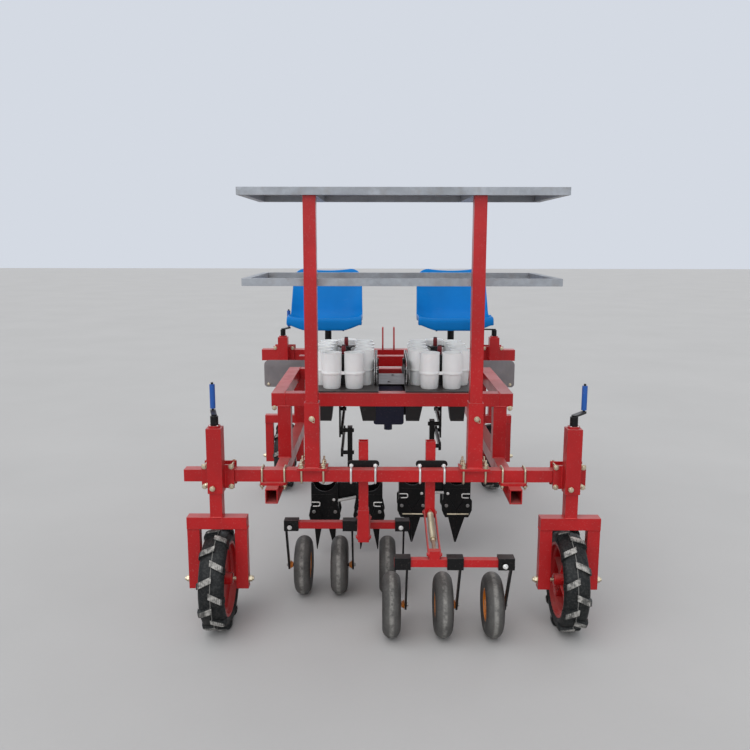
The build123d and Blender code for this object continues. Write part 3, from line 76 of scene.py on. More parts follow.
# Colours that aren't settings: metals, small plastics, rubber, stains, and the primer that wear lays bare
GREY_STEEL, GALVANISED = (0.215, 0.200, 0.208), (0.35, 0.37, 0.40)
YELLOW_ZINC, BRIGHT_ZINC = (0.66, 0.58, 0.42), (0.86, 0.86, 0.84)
CHAIN_STEEL, SPRING_STEEL = (0.33, 0.32, 0.31), (0.86, 0.85, 0.82)
METAL_STAIN = (0.30, 0.27, 0.24)
GRIP_BLUE, KNOB_RED, PLAIN_BLACK = (0.010, 0.085, 0.36), (0.16, 0.006, 0.010), (0.018, 0.018, 0.019)
LUGGED_RUBBER, PRESS_RUBBER, TYRE_DUST = (0.0055, 0.0065, 0.0068), (0.034, 0.033, 0.032), (0.34, 0.33, 0.31)
PRIMER, DARK_PRIMER = (0.22, 0.19, 0.18), (0.16, 0.16, 0.16)

# Ground wheels; their outlines give the distance from the middle plane and the radius
WHEEL_Z = 208.0
TYRE_OUTLINE = (
    (-38, 192.0), (-20, 194.2), (0, 195.0), (20, 194.2), (38, 192.0), (46, 186.5), (50.5, 178.0),
    (51.5, 168.0), (49.0, 159.0), (44.0, 153.5), (41.2, 150.0), (41.0, 146.2), (-41.0, 146.2), (-41.2, 150.0),
    (-44.0, 153.5), (-49.0, 159.0), (-51.5, 168.0), (-50.5, 178.0), (-46, 186.5),
)
LUG_STATIONS = (  # distance from the middle plane, radius of the lug's top and of its foot
    (-6.0, 207.6, 190.0), (20.0, 207.9, 190.0), (40.0, 206.6, 188.0), (49.0, 202.5, 182.0),
    (55.0, 190.0, 171.0),
)
LUG_COUNT = 10
LUG_SLANT = 0.48
LUG_HALF_TOP, LUG_HALF_FOOT = 12.5, 15.5
RIM_OUTLINE = (
    (-44.6, 153.0), (-41.8, 153.0), (-41.6, 146.0), (-30, 145.6), (-24, 140), (24, 140), (30, 145.6),
    (41.6, 146.0), (41.8, 153.0), (44.6, 153.0), (44.6, 142.0), (29, 141.0), (21, 135.5), (-21, 135.5),
    (-29, 141.0), (-44.6, 142.0),
)
DISC_OUTLINE = (
    (14, 136.4), (20, 136.4), (21.5, 122), (16, 100), (11, 62), (8, 40), (6, 25), (0, 25), (2, 42), (5, 64),
    (10, 98), (15.5, 122),
)
HUB_OUTLINE = ((-56, 8.3), (-56, 19), (-52, 25), (52, 25), (56, 19), (56, 8.3))
RIM_RIBS = 5
RIB_OUTLINE = ((-30, 24), (-22, 60), (-22, 136.5), (16, 136.5), (4, 60), (2, 24))
RIB_THICKNESS = 6.0

# Seats: the middle line of the skin from the side, and its outline from the rear
SEAT_X = 362.0
SEAT_LINE = ((285, 1078), (285, 1174), (402, 1131), (545, 1128), (655, 1420))
SEAT_REACHES = (36, 60, 72)
SEAT_LIP_Z = 1102.0
SEAT_HALF, SEAT_TOP_HALF = 203.0, 196.0
SEAT_CORNER = 66.0
SEAT_SKIN = 4.0
SEAT_TOP_DIP = 10.0  # how much lower the top edge lies in its middle
SEAT_LIP_RISE, SEAT_RISE_FROM, SEAT_RISE_OVER = 30.0, 108.0, 82.0  # the lip's edge rises towards its corners
SEAT_SWELL, SEAT_SWELL_FROM = 40.0, 0.50  # the sides stand forward, from this share of the half width
SEAT_RIM = ((2.2, 1.4), (3.6, 4.6), (4.0, 12.0), (3.6, 30.0))  # outward, back
SEAT_BOLT_X, SEAT_BOLT_Y = 105, 306
SEAT_BOLT = ((6, 0), (6, 5), (4, 8), (0, 8.4))

# Guard plates beside the seats, and the bare plate between the two trays
GUARD_IN, GUARD_OUT, GUARD_Y = 440, 724, 480
GUARD_LOW, GUARD_TOP = 748, 905
GUARD_CUT, GUARD_CORNER, GUARD_SHEET = 12, 28, 4.7
GUARD_BOLTS = ((478, 765, 0.4), (700, 764, 0.1))  # distance from the middle, height, turn of the head
DECK_HALF, DECK_REAR_Y, DECK_FRONT_Y = 68, -296, -4
DECK_LOW, DECK_SHEET = 908.4, 2.4
DECK_BOLTS = ((-12, -250), (10, -60))

# Rear tool bar: faces that fasteners sit on
REAR_BAR_BACK_Y = -890.7
REAR_BAR_FRONT_Y = -840.7
REAR_BAR_TOP = 661.0
REAR_BAR_BOTTOM = 611.0

U_BOLT_GAP, U_BOLT_BEND = 0.4, 9.0  # space between rod and bar, radius of the corners
UBolt = namedtuple("UBolt", "x nuts_up seat stack")
U_BOLTS = (
    # x, nuts above or below, height of the face under them, number of nuts; the gangs' bolts lie along y
    # and have no such height
    UBolt(-539, False, 600, 1),
    UBolt(-447, False, 600, 1),
    UBolt(-377, True, 671, 2),
    UBolt(-287, True, 671, 2),
    UBolt(-174, True, None, 1),
    UBolt(-74, True, None, 1),
    UBolt(109, True, None, 1),
    UBolt(209, True, None, 1),
    UBolt(287, True, 671, 2),
    UBolt(377, True, 671, 2),
    UBolt(447, False, 600, 1),
    UBolt(539, False, 600, 1),
)

# Press gangs' U-bolts, and the plates that they pass through
GANG_LEG_Y, GANG_TIP_Y = -839, -842
GANG_PLATE_Y, GANG_PLATE_SHEET = -850.0, 8
GANG_PLATES_X, GANG_PLATE_HALF = (-124, 159), 66
GANG_PLATES_Z = ((661.4, 690.0), (600.0, 610.6))

# Screw jacks and forks of the ground wheels
Jack = namedtuple("Jack", "x y bar_z reach_z back front sleeve_low sleeve_top set_z")
JACKS = (
    # wheel x, axle y, bar's middle height, bolt offset in z, clamp faces in y, sleeve's ends, set bolt height
    Jack(-718, -933, 636, 42, -902.7, -832.7, 582, 850, 606),
    Jack(718, -933, 636, 42, -902.7, -832.7, 582, 850, 606),
    Jack(-668, 933, 861, 47, 963.3, 1053.3, 700, 983, 730),
    Jack(668, 933, 861, 47, 963.3, 1053.3, 700, 983, 730),
)
CLAMP_BOLT_X, CLAMP_BOLT, CLAMP_NUT = 55, 4.8, 9.4  # offset from the stem, radius of the bolt and of its nut
SLEEVE_HALF = 30.3  # half the width of a jack's sleeve or a post's socket, to just outside the steel
CAP_SCREW = ((3.0, 0), (3.0, 2.2), (2.2, 3.0), (0, 3.1))
CAP_SCREW_REACH = 20.5
FORK_IN, FORK_OUT, FORK_HALF_Y = 72, 122, 20
CROWN_LOW, CROWN_TOP, STEM_HALF = 430, 480, 25
AXLE_WASHER, AXLE_WASHER_THICK, AXLE_PIN_OUT = 17.5, 2.5, 15.5

# Frame: edges and faces where beads and bolts lie
TUBE_IN, TUBE_OUT, TUBE_HALF = 463, 523, 30
UPRIGHTS_Y = (-462, 220, 510)
RAIL_TOP, UPPER_LOW, UPPER_TOP, CORNER_X = 600, 842, 902, 490
SOCKET_Y, SOCKET_Z = -865.7, 671.3
POST_X, POST_BACK_Y, POST_FRONT_Y, POST_BOLT_Z = 332, -896.2, -835.2, 877
POST_PIN = ((3, -906, 884), (13, -908, 880), (12, -906, 862), (2, -905, 866))  # x from the bolt's, y, z
HOOK_BOLT = (536, -500, 836)

# Press gangs
Gang = namedtuple("Gang", "bar_y bar_z clamps straps wheels wheel_y")
GANGS = (
    # cross bar's y and z, clamps' x, straps' x, wheels' x and y
    Gang(-711, 360, (-442, -186, 43), (-466, -176, 50), (-400, -237, -20), -615),
    Gang(-1125, 365, (32, 235, 431), (50, 256, 452), (-8, 201, 402), -1005),
)
CLAMPS_WITH_BOLTS = (-442, 43, 431)
PRESS_AXLE_Z = 131
PRESS_BOSS = ((17, 0), (17, 4), (13, 6), (13, 12), (0, 12))  # radius, length
CLAMP_BACK = 31.5  # from a cross bar's middle to the back of its clamps
GANG_SPRING_TOP, GANG_SPRING_LOW = (155, -838, 468), (155, -1112, 408)
GANG_ROD = 7.5
GANG_COIL = (30, 205)  # where the coil starts and ends, along the rod

# Planting units
Unit = namedtuple("Unit", "side sign y base hook_rise spring_lean guided")
UNITS = (
    # name, side, middle in y, foot of the carrier, hook's height, spring's lean, whether guide rods show
    Unit("left", -1, -184.3, 199.9, 88, 9, False),
    Unit("right", 1, -189.4, 235.9, 99, 0, True),
)
BUCKET_ROWS = (108, 330)
BUCKET_BACK = 55  # from the unit's middle to just behind the buckets
BUCKET_SPRING_RISE, BUCKET_SPRING_END = 115, 66
BUCKET_HOOK = ((64, -3, 10), (24, -5, 11), (24, -6, -9), (58, -5, -10))  # sideways, forward, above
BUCKET_BOLT_X, BUCKET_BOLT_RISE = 46, 110
BUCKET_LINE_HALF, BUCKET_LINE_Y, BUCKET_LINE_RISE = 60, 56.3, 138
GUIDE, GUIDE_HALF, GUIDE_RISE = 4.2, 54, 6
CHEEK_PIN_X, CHEEK_PIN_Y, CHEEK_PIN_RISE = 53, 65, 50
CHEEK_PIN = ((8.8, -2), (8.8, 1.0), (7.4, 2.2), (3.0, 2.4), (2.6, 1.4), (0, 1.4))

# Rings of seedling cups, with their knobs and chains
RING_X, RING_RADIUS = 228.0, 98.0
RING_REAR_Y, RING_FRONT_Y = -300.0, 0.0
CUP_COUNT = 11
CUP_FOOT, CUP_FOOT_RADIUS = 908.3, 39.5
CUP_WAIST, CUP_WAIST_RADIUS = 977.0, 43.5
CUP_OUTLINE = (  # radius, height over the tray
    (0, 0), (38.3, 0), (39.5, 1.4), (43.3, 66.5), (47.6, 67.5), (48.8, 69.5), (48.8, 76.5), (47.8, 78.6),
    (46.2, 79.2), (46.2, 164.0), (47.4, 165.0), (47.4, 167.2), (46.8, 167.7), (43.4, 167.7), (43.0, 166.5),
    (42.8, 80), (36.4, 4), (0, 3.4),
)
BAND_LOW, BAND_HIGH, BAND_HALF = 973.3, 987.3, 4.5
RIB_HALF, RIB_RISE = 0.9, 0.8
KNOB = ((9.4, 0), (10.6, 2), (10.6, 30), (9.6, 40), (6.5, 45), (0, 46))
KNOB_Z = 1055
RING_NUTS = ((26, 4, 0.0), (-24, -6, 0.4))  # right of a knob, forward of it, turn
CHAIN_REAR_Y, CHAIN_FRONT_Y = -320.0, 20.0
CHAIN_Z, CHAIN_RADIUS = 972.0, 53.5
CHAIN_X = (71.5, 79.5)
CHAIN_LINK, CHAIN_PLATE, CHAIN_PIN = 4.6, 0.9, 1.9  # half a link's height, its thickness, the pin's radius
CHAIN_PIN_OUT = 2.2

# Fasteners
THREAD_PITCH, WELD_RIPPLE, WASHER = 1.6, 2.4, 2.0

# Stage
FLOOR_REACH = 40.0  # metres
SKY_LIGHT = (0.94, 0.965, 1.0)
SKY_STRENGTH = 0.66


# ---------------------------------------------------------------- settings

class FinishSettings(bpy.types.PropertyGroup):
    """Colours of the machine's paints and plastics, and how dusty they are."""

    red: bpy.props.FloatVectorProperty(
        name="Frame red", description="Gloss paint of the frame", subtype="COLOR", size=3,
        min=0, max=1, default=(0.435, 0.009, 0.011),
    )
    black: bpy.props.FloatVectorProperty(
        name="Black paint", description="Paint of the buckets, links and clamps", subtype="COLOR", size=3,
        min=0, max=1, default=(0.0045, 0.0045, 0.005),
    )
    navy: bpy.props.FloatVectorProperty(
        name="Drive box", description="Paint of the gear drive's casing", subtype="COLOR", size=3,
        min=0, max=1, default=(0.014, 0.018, 0.060),
    )
    orange: bpy.props.FloatVectorProperty(
        name="Press wheel rims", description="Paint of the press wheels' pressed rims", subtype="COLOR",
        size=3, min=0, max=1, default=(0.62, 0.20, 0.022),
    )
    seat: bpy.props.FloatVectorProperty(
        name="Seat blue", description="Moulded plastic of the two seats", subtype="COLOR", size=3,
        min=0, max=1, default=(0.002, 0.168, 0.505),
    )
    cup: bpy.props.FloatVectorProperty(
        name="Cup white", description="Moulded plastic of the seedling cups", subtype="COLOR", size=3,
        min=0, max=1, default=(0.91, 0.92, 0.92),
    )
    dust: bpy.props.FloatVectorProperty(
        name="Dust", description="Dry yard dust on the faces that look up", subtype="COLOR", size=3,
        min=0, max=1, default=(0.50, 0.40, 0.36),
    )
    dust_cover: bpy.props.FloatProperty(
        name="Dust cover", description="Share of an upward face that the dust hides",
        min=0, max=1, default=0.24, subtype="FACTOR",
    )


class FittingSettings(bpy.types.PropertyGroup):
    """Sizes of the fasteners and small fittings."""

    u_bolt: bpy.props.FloatProperty(
        name="U-bolt rod", description="Radius of the U-bolts' rod", default=0.0045, unit="LENGTH",
    )
    nut: bpy.props.FloatProperty(
        name="Nut", description="Radius of a nut across its corners", default=0.0098, unit="LENGTH",
    )
    bead: bpy.props.FloatProperty(
        name="Weld bead", description="Half the width of a weld bead", default=0.0034, unit="LENGTH",
    )
    chain_pitch: bpy.props.FloatProperty(
        name="Chain pitch", description="Distance between the drive chains' pins", default=0.0127,
        unit="LENGTH",
    )
    cup_ribs: bpy.props.IntProperty(
        name="Cup ribs", description="Fine ribs round each seedling cup", default=36, min=8,
    )


class StageSettings(bpy.types.PropertyGroup):
    """Camera, floor and light."""

    camera: bpy.props.FloatVectorProperty(
        name="Camera", description="Where the camera stands", size=3, subtype="TRANSLATION", unit="LENGTH",
        default=(-0.0608, -3.9558, 1.5904),
    )
    pitch: bpy.props.FloatProperty(
        name="Pitch", description="How far the camera looks down", default=radians(9.8755), subtype="ANGLE",
    )
    yaw: bpy.props.FloatProperty(
        name="Yaw", description="How far the camera turns left", default=radians(0.2858), subtype="ANGLE",
    )
    roll: bpy.props.FloatProperty(
        name="Roll", description="How far the camera leans", default=radians(0.0802), subtype="ANGLE",
    )
    lens: bpy.props.FloatProperty(
        name="Lens", description="Focal length in millimetres on a 36 mm sensor", default=37.27, min=1,
    )
    floor: bpy.props.FloatVectorProperty(
        name="Floor", description="Pale plain floor", subtype="COLOR", size=3, min=0, max=1,
        default=(0.455, 0.45, 0.445),
    )
    sky: bpy.props.FloatVectorProperty(
        name="Backdrop", description="Pale plain backdrop", subtype="COLOR", size=3, min=0, max=1,
        default=(0.66, 0.70, 0.77),
    )


# ---------------------------------------------------------------- shader building

def wire(tree, kind, inputs=None, **settings):
    """Adds a node to a material, with its settings, values and links."""
    made = tree.nodes.new("ShaderNode" + kind)
    for key, value in settings.items():
        setattr(made, key, value)
    for key, value in (inputs or {}).items():
        if isinstance(value, bpy.types.NodeSocket):
            tree.links.new(value, made.inputs[key])
        else:
            made.inputs[key].default_value = value
    return made


def blank(name):
    """A new material with its shader, and the object's own coordinates."""
    material = bpy.data.materials.new(LOOK + name)
    material.use_nodes = True
    tree = material.node_tree
    shader = tree.nodes["Principled BSDF"]
    place = wire(tree, "TexCoord").outputs["Object"]
    return material, tree, shader, place


def stretched(tree, value, low, high):
    """A number between two levels, spread out from 0 to 1 and held there."""
    return wire(tree, "MapRange", {"Value": value, "From Min": low, "From Max": high}).outputs[0]


def blotch(tree, place, scale, detail=4.0, rough=0.55, low=0.35, high=0.65, bend=0.0):
    """Noise from 0 to 1, stretched between two levels."""
    noise = wire(tree, "TexNoise", {"Vector": place, "Scale": scale, "Detail": detail, "Roughness": rough,
                                    "Distortion": bend})
    return stretched(tree, noise.outputs["Fac"], low, high)


def reckoned(tree, operation, *values):
    """One step of arithmetic on numbers."""
    return wire(tree, "Math", dict(enumerate(values)), operation=operation).outputs[0]


def times(tree, a, b):
    """The product of two numbers."""
    return reckoned(tree, "MULTIPLY", a, b)


def plus(tree, a, b):
    """The sum of two numbers."""
    return reckoned(tree, "ADD", a, b)


def between(tree, amount, a, b):
    """A number that goes from a to b."""
    return wire(tree, "MapRange", {"Value": amount, "To Min": a, "To Max": b}).outputs[0]


def mixed(tree, amount, a, b):
    """A colour that goes from a to b."""
    four = [c if isinstance(c, bpy.types.NodeSocket) else (*c[:3], 1.0) for c in (a, b)]
    return wire(tree, "Mix", {0: amount, 6: four[0], 7: four[1]}, data_type="RGBA").outputs[2]


def shade(colour, factor):
    """A colour made darker or lighter."""
    return tuple(min(1.0, c * factor) for c in colour)


def facing_up(tree):
    """How far a face looks up, from 0 to 1."""
    normal = wire(tree, "NewGeometry").outputs["Normal"]
    rise = wire(tree, "SeparateXYZ", {"Vector": normal}).outputs["Z"]
    return stretched(tree, rise, 0.35, 0.95)


def soft_edges(tree, radius, bumped):
    """Rounds the edges under the fine bump, and gives the mask of the edges."""
    rounded = wire(tree, "Bevel", {"Radius": radius}, samples=4).outputs["Normal"]
    flat = wire(tree, "NewGeometry").outputs["Normal"]
    same = wire(tree, "VectorMath", {0: rounded, 1: flat}, operation="DOT_PRODUCT").outputs["Value"]
    tree.links.new(rounded, bumped.inputs["Normal"])
    return stretched(tree, same, 0.995, 0.86)


def bump(tree, height, strength, distance):
    """Fine relief of a surface, from a height."""
    return wire(tree, "Bump", {"Height": height, "Strength": strength, "Distance": distance})


def dressed(tree, shader, tone, rough, skin):
    """Gives a shader its colour, its roughness and its bump."""
    tree.links.new(tone, shader.inputs["Base Color"])
    tree.links.new(rough, shader.inputs["Roughness"])
    tree.links.new(skin.outputs["Normal"], shader.inputs["Normal"])


def paint(name, colour, dust, cover, gloss=0.30, chip=PRIMER, round_edge=0.0022, edge_wear=0.55, shine=0.28,
          coat=0.12):
    """Sprayed gloss paint on steel: uneven tone, orange peel, dust on top, a painted highlight along the edges,
    and edges worn to the primer.
    """
    material, tree, shader, place = blank(name)
    cloud = blotch(tree, place, 2.6, low=0.3, high=0.7)
    grime = blotch(tree, place, 9.0, detail=6, low=0.42, high=0.72, bend=0.6)
    speck = blotch(tree, place, 160.0, detail=2, low=0.62, high=0.70)
    tone = mixed(tree, cloud, shade(colour, 0.84), shade(colour, 1.14))
    tone = mixed(tree, times(tree, grime, 0.30), tone, shade(colour, 0.55))
    top = facing_up(tree)
    film = times(tree, top, between(tree, grime, cover * 0.55, cover * 1.25))
    film = plus(tree, film, times(tree, speck, 0.10))
    tone = mixed(tree, film, tone, dust)
    waves = wire(tree, "TexNoise", {"Vector": place, "Scale": 260.0, "Detail": 2.0})
    skin = bump(tree, waves.outputs["Fac"], 0.12, 0.0006)
    edge = soft_edges(tree, round_edge, skin)
    chips = times(tree, edge, blotch(tree, place, 55.0, detail=5, low=0.48, high=0.60))
    # painted highlight: a thin line along every edge is mixed towards a much lighter shade of the paint; the same
    # edge mask then gives the chips worn to the primer
    tone = mixed(tree, times(tree, edge, 0.16), tone, shade(colour, 1.9))
    tone = mixed(tree, times(tree, chips, edge_wear), tone, chip)
    rough = plus(tree, between(tree, grime, gloss, gloss + 0.14), times(tree, film, 0.9))
    dressed(tree, shader, tone, rough, skin)
    shader.inputs["Specular IOR Level"].default_value = shine
    shader.inputs["Coat Weight"].default_value = coat
    shader.inputs["Coat Roughness"].default_value = 0.20
    return material


def bare_metal(name, colour, roughness, metallic=1.0, spangle=0.0, grain=90.0):
    """Plated or galvanised steel: crystals of zinc, dull patches and a brushed grain."""
    material, tree, shader, place = blank(name)
    patch = blotch(tree, place, 7.0, detail=5, low=0.35, high=0.7, bend=0.8)
    tone = mixed(tree, patch, shade(colour, 1.08), shade(colour, 0.80))
    if spangle:
        crystal = wire(tree, "TexVoronoi", {"Vector": place, "Scale": 75.0}, feature="F1")
        grey = wire(tree, "SeparateColor", {"Color": crystal.outputs["Color"]}).outputs[0]
        tone = mixed(tree, times(tree, grey, spangle), tone, shade(colour, 0.62))
    dull = blotch(tree, place, 26.0, detail=6, low=0.52, high=0.74)
    tone = mixed(tree, times(tree, dull, 0.35), tone, METAL_STAIN)
    fine = wire(tree, "TexNoise", {"Vector": place, "Scale": grain * 8, "Detail": 3.0})
    skin = bump(tree, fine.outputs["Fac"], 0.10, 0.0004)
    soft_edges(tree, 0.0008, skin)
    rough = plus(tree, between(tree, patch, roughness, roughness + 0.16), times(tree, dull, 0.15))
    dressed(tree, shader, tone, rough, skin)
    shader.inputs["Metallic"].default_value = metallic
    return material


def moulded(name, colour, dust, roughness=0.32, grain=0.10, film=0.14, see_in=0.0, round_edge=0.0016,
            scuffed=0.16, shine=0.4):
    """Moulded plastic: slight clouding, a fine pebble grain, scuffs and a film of dust."""
    material, tree, shader, place = blank(name)
    cloud = blotch(tree, place, 4.0, low=0.3, high=0.7)
    streaks = wire(tree, "Mapping", {"Vector": place, "Scale": (9.0, 60.0, 16.0)}).outputs[0]
    scuff = blotch(tree, streaks, 1.0, detail=8, rough=0.7, low=0.58, high=0.68)
    tone = mixed(tree, cloud, shade(colour, 0.90), shade(colour, 1.08))
    tone = mixed(tree, times(tree, scuff, scuffed), tone, shade(dust, 1.2))
    lay = times(tree, facing_up(tree), between(tree, cloud, film * 0.5, film * 1.4))
    tone = mixed(tree, lay, tone, dust)
    pebble = wire(tree, "TexNoise", {"Vector": place, "Scale": 620.0, "Detail": 2.0})
    skin = bump(tree, pebble.outputs["Fac"], grain, 0.0004)
    soft_edges(tree, round_edge, skin)
    rough = plus(tree, between(tree, scuff, roughness, roughness + 0.2), times(tree, lay, 0.8))
    dressed(tree, shader, tone, rough, skin)
    shader.inputs["Specular IOR Level"].default_value = shine
    if see_in:
        shader.inputs["Subsurface Weight"].default_value = see_in
        shader.inputs["Subsurface Radius"].default_value = (0.006, 0.005, 0.004)
    return material


def ring_distance(tree, place, centre):
    """Distance from a wheel's axle line and from its middle plane, and the place across it, in metres."""
    local = wire(tree, "VectorMath", {0: place, 1: centre}, operation="SUBTRACT").outputs[0]
    parts = wire(tree, "SeparateXYZ", {"Vector": local})
    across = reckoned(tree, "ABSOLUTE", parts.outputs["X"])
    flat = wire(tree, "VectorMath", {0: local, 1: (0, 1, 1)}, operation="MULTIPLY").outputs[0]
    away = wire(tree, "VectorMath", {0: flat}, operation="LENGTH").outputs["Value"]
    return away, across, parts.outputs["X"]


def rubber(name, centre, tread, lugged):
    """Tyre rubber: dusty and worn where it meets the ground, with a moulding line, darker down the walls."""
    material, tree, shader, place = blank(name)
    dark = LUGGED_RUBBER if lugged else PRESS_RUBBER
    away, across, sideways = ring_distance(tree, place, centre)
    cloud = blotch(tree, place, 8.0, detail=6, low=0.32, high=0.68)
    grit = blotch(tree, place, 120.0, detail=3, low=0.46, high=0.62)
    tone = mixed(tree, cloud, dark, shade(dark, 1.7))
    tone = mixed(tree, times(tree, grit, 0.05), tone, TYRE_DUST)
    if lugged:
        worn = stretched(tree, away, tread - 0.006, tread - 0.002)
        bands = reckoned(tree, "SINE", times(tree, sideways, 900.0))
        marks = times(tree, stretched(tree, bands, 0.1, 0.5), stretched(tree, across, 0.012, 0.018))
        scuffs = blotch(tree, place, 46.0, detail=6, rough=0.7, low=0.42, high=0.60)
        cover = times(tree, worn, between(tree, scuffs, 0.22, 1.0))
        cover = times(tree, cover, between(tree, marks, 1.0, 0.55))
        seam = stretched(tree, across, 0.0016, 0.0008)
        cover = reckoned(tree, "MAXIMUM", cover, times(tree, seam, 0.45))
        height = times(tree, marks, worn)
    else:
        worn = stretched(tree, away, tread - 0.024, tread)
        seam = stretched(tree, across, 0.0120, 0.0045)
        broken = times(tree, seam, blotch(tree, place, 34.0, detail=7, rough=0.7, low=0.38, high=0.58))
        cover = plus(tree, times(tree, worn, between(tree, cloud, 0.10, 0.26)), times(tree, broken, 0.62))
        height = grit
    tone = mixed(tree, cover, tone, shade(TYRE_DUST, 1.25 if lugged else 0.9))
    fine = wire(tree, "TexNoise", {"Vector": place, "Scale": 300.0, "Detail": 4.0}).outputs["Fac"]
    wall_lines = reckoned(tree, "SINE", times(tree, away, 1100.0))
    relief = plus(tree, times(tree, height, 0.8), times(tree, fine, 0.6))
    relief = plus(tree, relief, times(tree, wall_lines, 0.10))
    skin = bump(tree, relief, 0.30, 0.0008)
    soft_edges(tree, 0.0022, skin)
    dressed(tree, shader, tone, between(tree, cover, 0.50, 0.92), skin)
    shader.inputs["Specular IOR Level"].default_value = 0.22
    return material


# ---------------------------------------------------------------- mesh building

def across_axes(direction):
    """Two unit vectors across a direction, and the direction as a unit vector."""
    along = Vector(direction).normalized()
    side = Vector((0, 0, 1)).cross(along)
    if side.length < 0.01:
        side = Vector((1, 0, 0))
    side.normalize()
    return side, along.cross(side), along


def held(value, low=0.0, high=1.0):
    """A number kept between two bounds."""
    return min(high, max(low, value))


def arc(across, up, radius, start, sweep, steps):
    """Points along an arc in a plane, from its centre, its radius, where it starts and how far it turns."""
    angles = [start + sweep * k / steps for k in range(steps + 1)]
    return [(across + radius * cos(angle), up + radius * sin(angle)) for angle in angles]


def oval(s, rear, front, radius):
    """Along and across a line round two ends, at a distance from the rear of its first straight."""
    straight, bend = front - rear, pi * radius
    s = s % (2 * (straight + bend))
    if s < straight:
        return rear + s, radius
    s -= straight
    if s < bend:
        return front + radius * sin(s / radius), radius * cos(s / radius)
    s -= bend
    if s < straight:
        return front - s, -radius
    s -= straight
    return rear - radius * sin(s / radius), -radius * cos(s / radius)


def strip(mesh, low, high):
    """Faces all round between two rings with the same number of points."""
    count = len(low)
    for k in range(count):
        n = (k + 1) % count
        mesh.faces.new((low[k], low[n], high[n], high[k]))


def capped(mesh, rings):
    """Closes the first and the last of some rings."""
    mesh.faces.new(list(reversed(rings[0])))
    mesh.faces.new(rings[-1])


def turned(mesh, centre, direction, profile, sides=20, turn=0.0):
    """Revolves a profile of (radius, height) points round a line, closed at both ends."""
    side, up, along = across_axes(direction)
    centre = Vector(centre)
    rings = []
    for radius, height in profile:
        if radius <= 0:
            rings.append([mesh.verts.new((centre + along * height) * MM)])
            continue
        ring = []
        for k in range(sides):
            angle = turn + tau * k / sides
            point = centre + along * height + (side * cos(angle) + up * sin(angle)) * radius
            ring.append(mesh.verts.new(point * MM))
        rings.append(ring)
    for low, high in zip(rings, rings[1:]):
        if len(low) == len(high):
            strip(mesh, low, high)
            continue
        for k in range(sides):
            n = (k + 1) % sides
            if len(low) == 1:
                mesh.faces.new((low[0], high[n], high[k]))
            else:
                mesh.faces.new((low[k], low[n], high[0]))
    if len(rings[0]) > 1:
        mesh.faces.new(list(reversed(rings[0])))
    if len(rings[-1]) > 1:
        mesh.faces.new(rings[-1])


def nut(mesh, centre, direction, radius=9.8, height=8.0, turn=0.0):
    """A six-sided nut with chamfered corners, standing on centre."""
    r = radius
    profile = ((r * 0.86, 0), (r, height * 0.12), (r, height * 0.86), (r * 0.87, height), (r * 0.55, height))
    turned(mesh, centre, direction, profile, sides=6, turn=turn)


def washer(mesh, centre, direction, radius=12.0, height=2.0):
    """A flat ring under a nut or a head, with its edges eased."""
    profile = ((radius - 0.5, 0), (radius, 0.4), (radius, height - 0.4), (radius - 0.5, height))
    turned(mesh, centre, direction, profile, sides=24)


def thread(mesh, centre, direction, length, radius=4.5):
    """A threaded end with its ridges and a chamfered tip."""
    profile = [(radius * 0.86, 0)]
    count = max(1, int(length / THREAD_PITCH))
    for k in range(count):
        profile.append((radius, THREAD_PITCH * (k + 0.35)))
        profile.append((radius * 0.86, THREAD_PITCH * (k + 0.85)))
    profile.append((radius * 0.7, length))
    turned(mesh, centre, direction, profile, sides=12)


def bolt_end(mesh, centre, direction, radius=4.5, nuts=1, nut_radius=9.8, tip=9.0, turn=0.0):
    """Washer, nuts and the thread that stands out of them, on a face."""
    along = Vector(direction).normalized()
    base = Vector(centre)
    washer(mesh, base, along, nut_radius * 1.22, WASHER)
    rise = WASHER
    for k in range(nuts):
        nut(mesh, base + along * rise, along, nut_radius, nut_radius * 0.82, turn + k * 0.35)
        rise += nut_radius * 0.82 + 0.3
    thread(mesh, base + along * rise, along, tip, radius)


def bolt_head(mesh, centre, direction, radius=9.8, turn=0.0):
    """Washer and six-sided head with a slight dome."""
    along = Vector(direction).normalized()
    washer(mesh, centre, along, radius * 1.22, WASHER)
    r = radius
    profile = ((r, 0), (r, r * 0.52), (r * 0.88, r * 0.66), (r * 0.4, r * 0.70), (0, r * 0.71))
    turned(mesh, Vector(centre) + along * WASHER, along, profile, sides=6, turn=turn)


def swept(mesh, points, radius, sides=10):
    """A round bar along points; radius is one number or one for each point."""
    path = [Vector(p) for p in points]
    across = None
    rings = []
    for k, point in enumerate(path):
        along = (path[min(k + 1, len(path) - 1)] - path[max(k - 1, 0)]).normalized()
        if across is None:
            across = along.orthogonal().normalized()
        across = (across - along * across.dot(along)).normalized()
        up = along.cross(across)
        size = radius[k] if isinstance(radius, (list, tuple)) else radius
        ring = []
        for n in range(sides):
            angle = tau * n / sides
            ring.append(mesh.verts.new((point + (across * cos(angle) + up * sin(angle)) * size) * MM))
        rings.append(ring)
    for low, high in zip(rings, rings[1:]):
        strip(mesh, low, high)
    capped(mesh, rings)


def eased(points, radius, steps=5):
    """The same line with its corners rounded; radius is one number or one for each corner."""
    path = [Vector(p) for p in points]
    wanted = radius if isinstance(radius, tuple) else (radius,) * (len(path) - 2)
    out = [path[0]]
    for before, corner, after, size in zip(path, path[1:], path[2:], wanted):
        to_before, to_after = before - corner, after - corner
        reach = min(size, to_before.length * 0.49, to_after.length * 0.49)
        start = corner + to_before.normalized() * reach
        end = corner + to_after.normalized() * reach
        for k in range(steps + 1):
            t = k / steps
            out.append(start * (1 - t) ** 2 + corner * (2 * t * (1 - t)) + end * t ** 2)
    out.append(path[-1])
    return out


def slab(mesh, outline, thickness):
    """A plate from its outline, given as points on one face, and its thickness as a vector."""
    lift = Vector(thickness)
    low = [mesh.verts.new(Vector(p) * MM) for p in outline]
    high = [mesh.verts.new((Vector(p) + lift) * MM) for p in outline]
    capped(mesh, (low, high))
    strip(mesh, low, high)


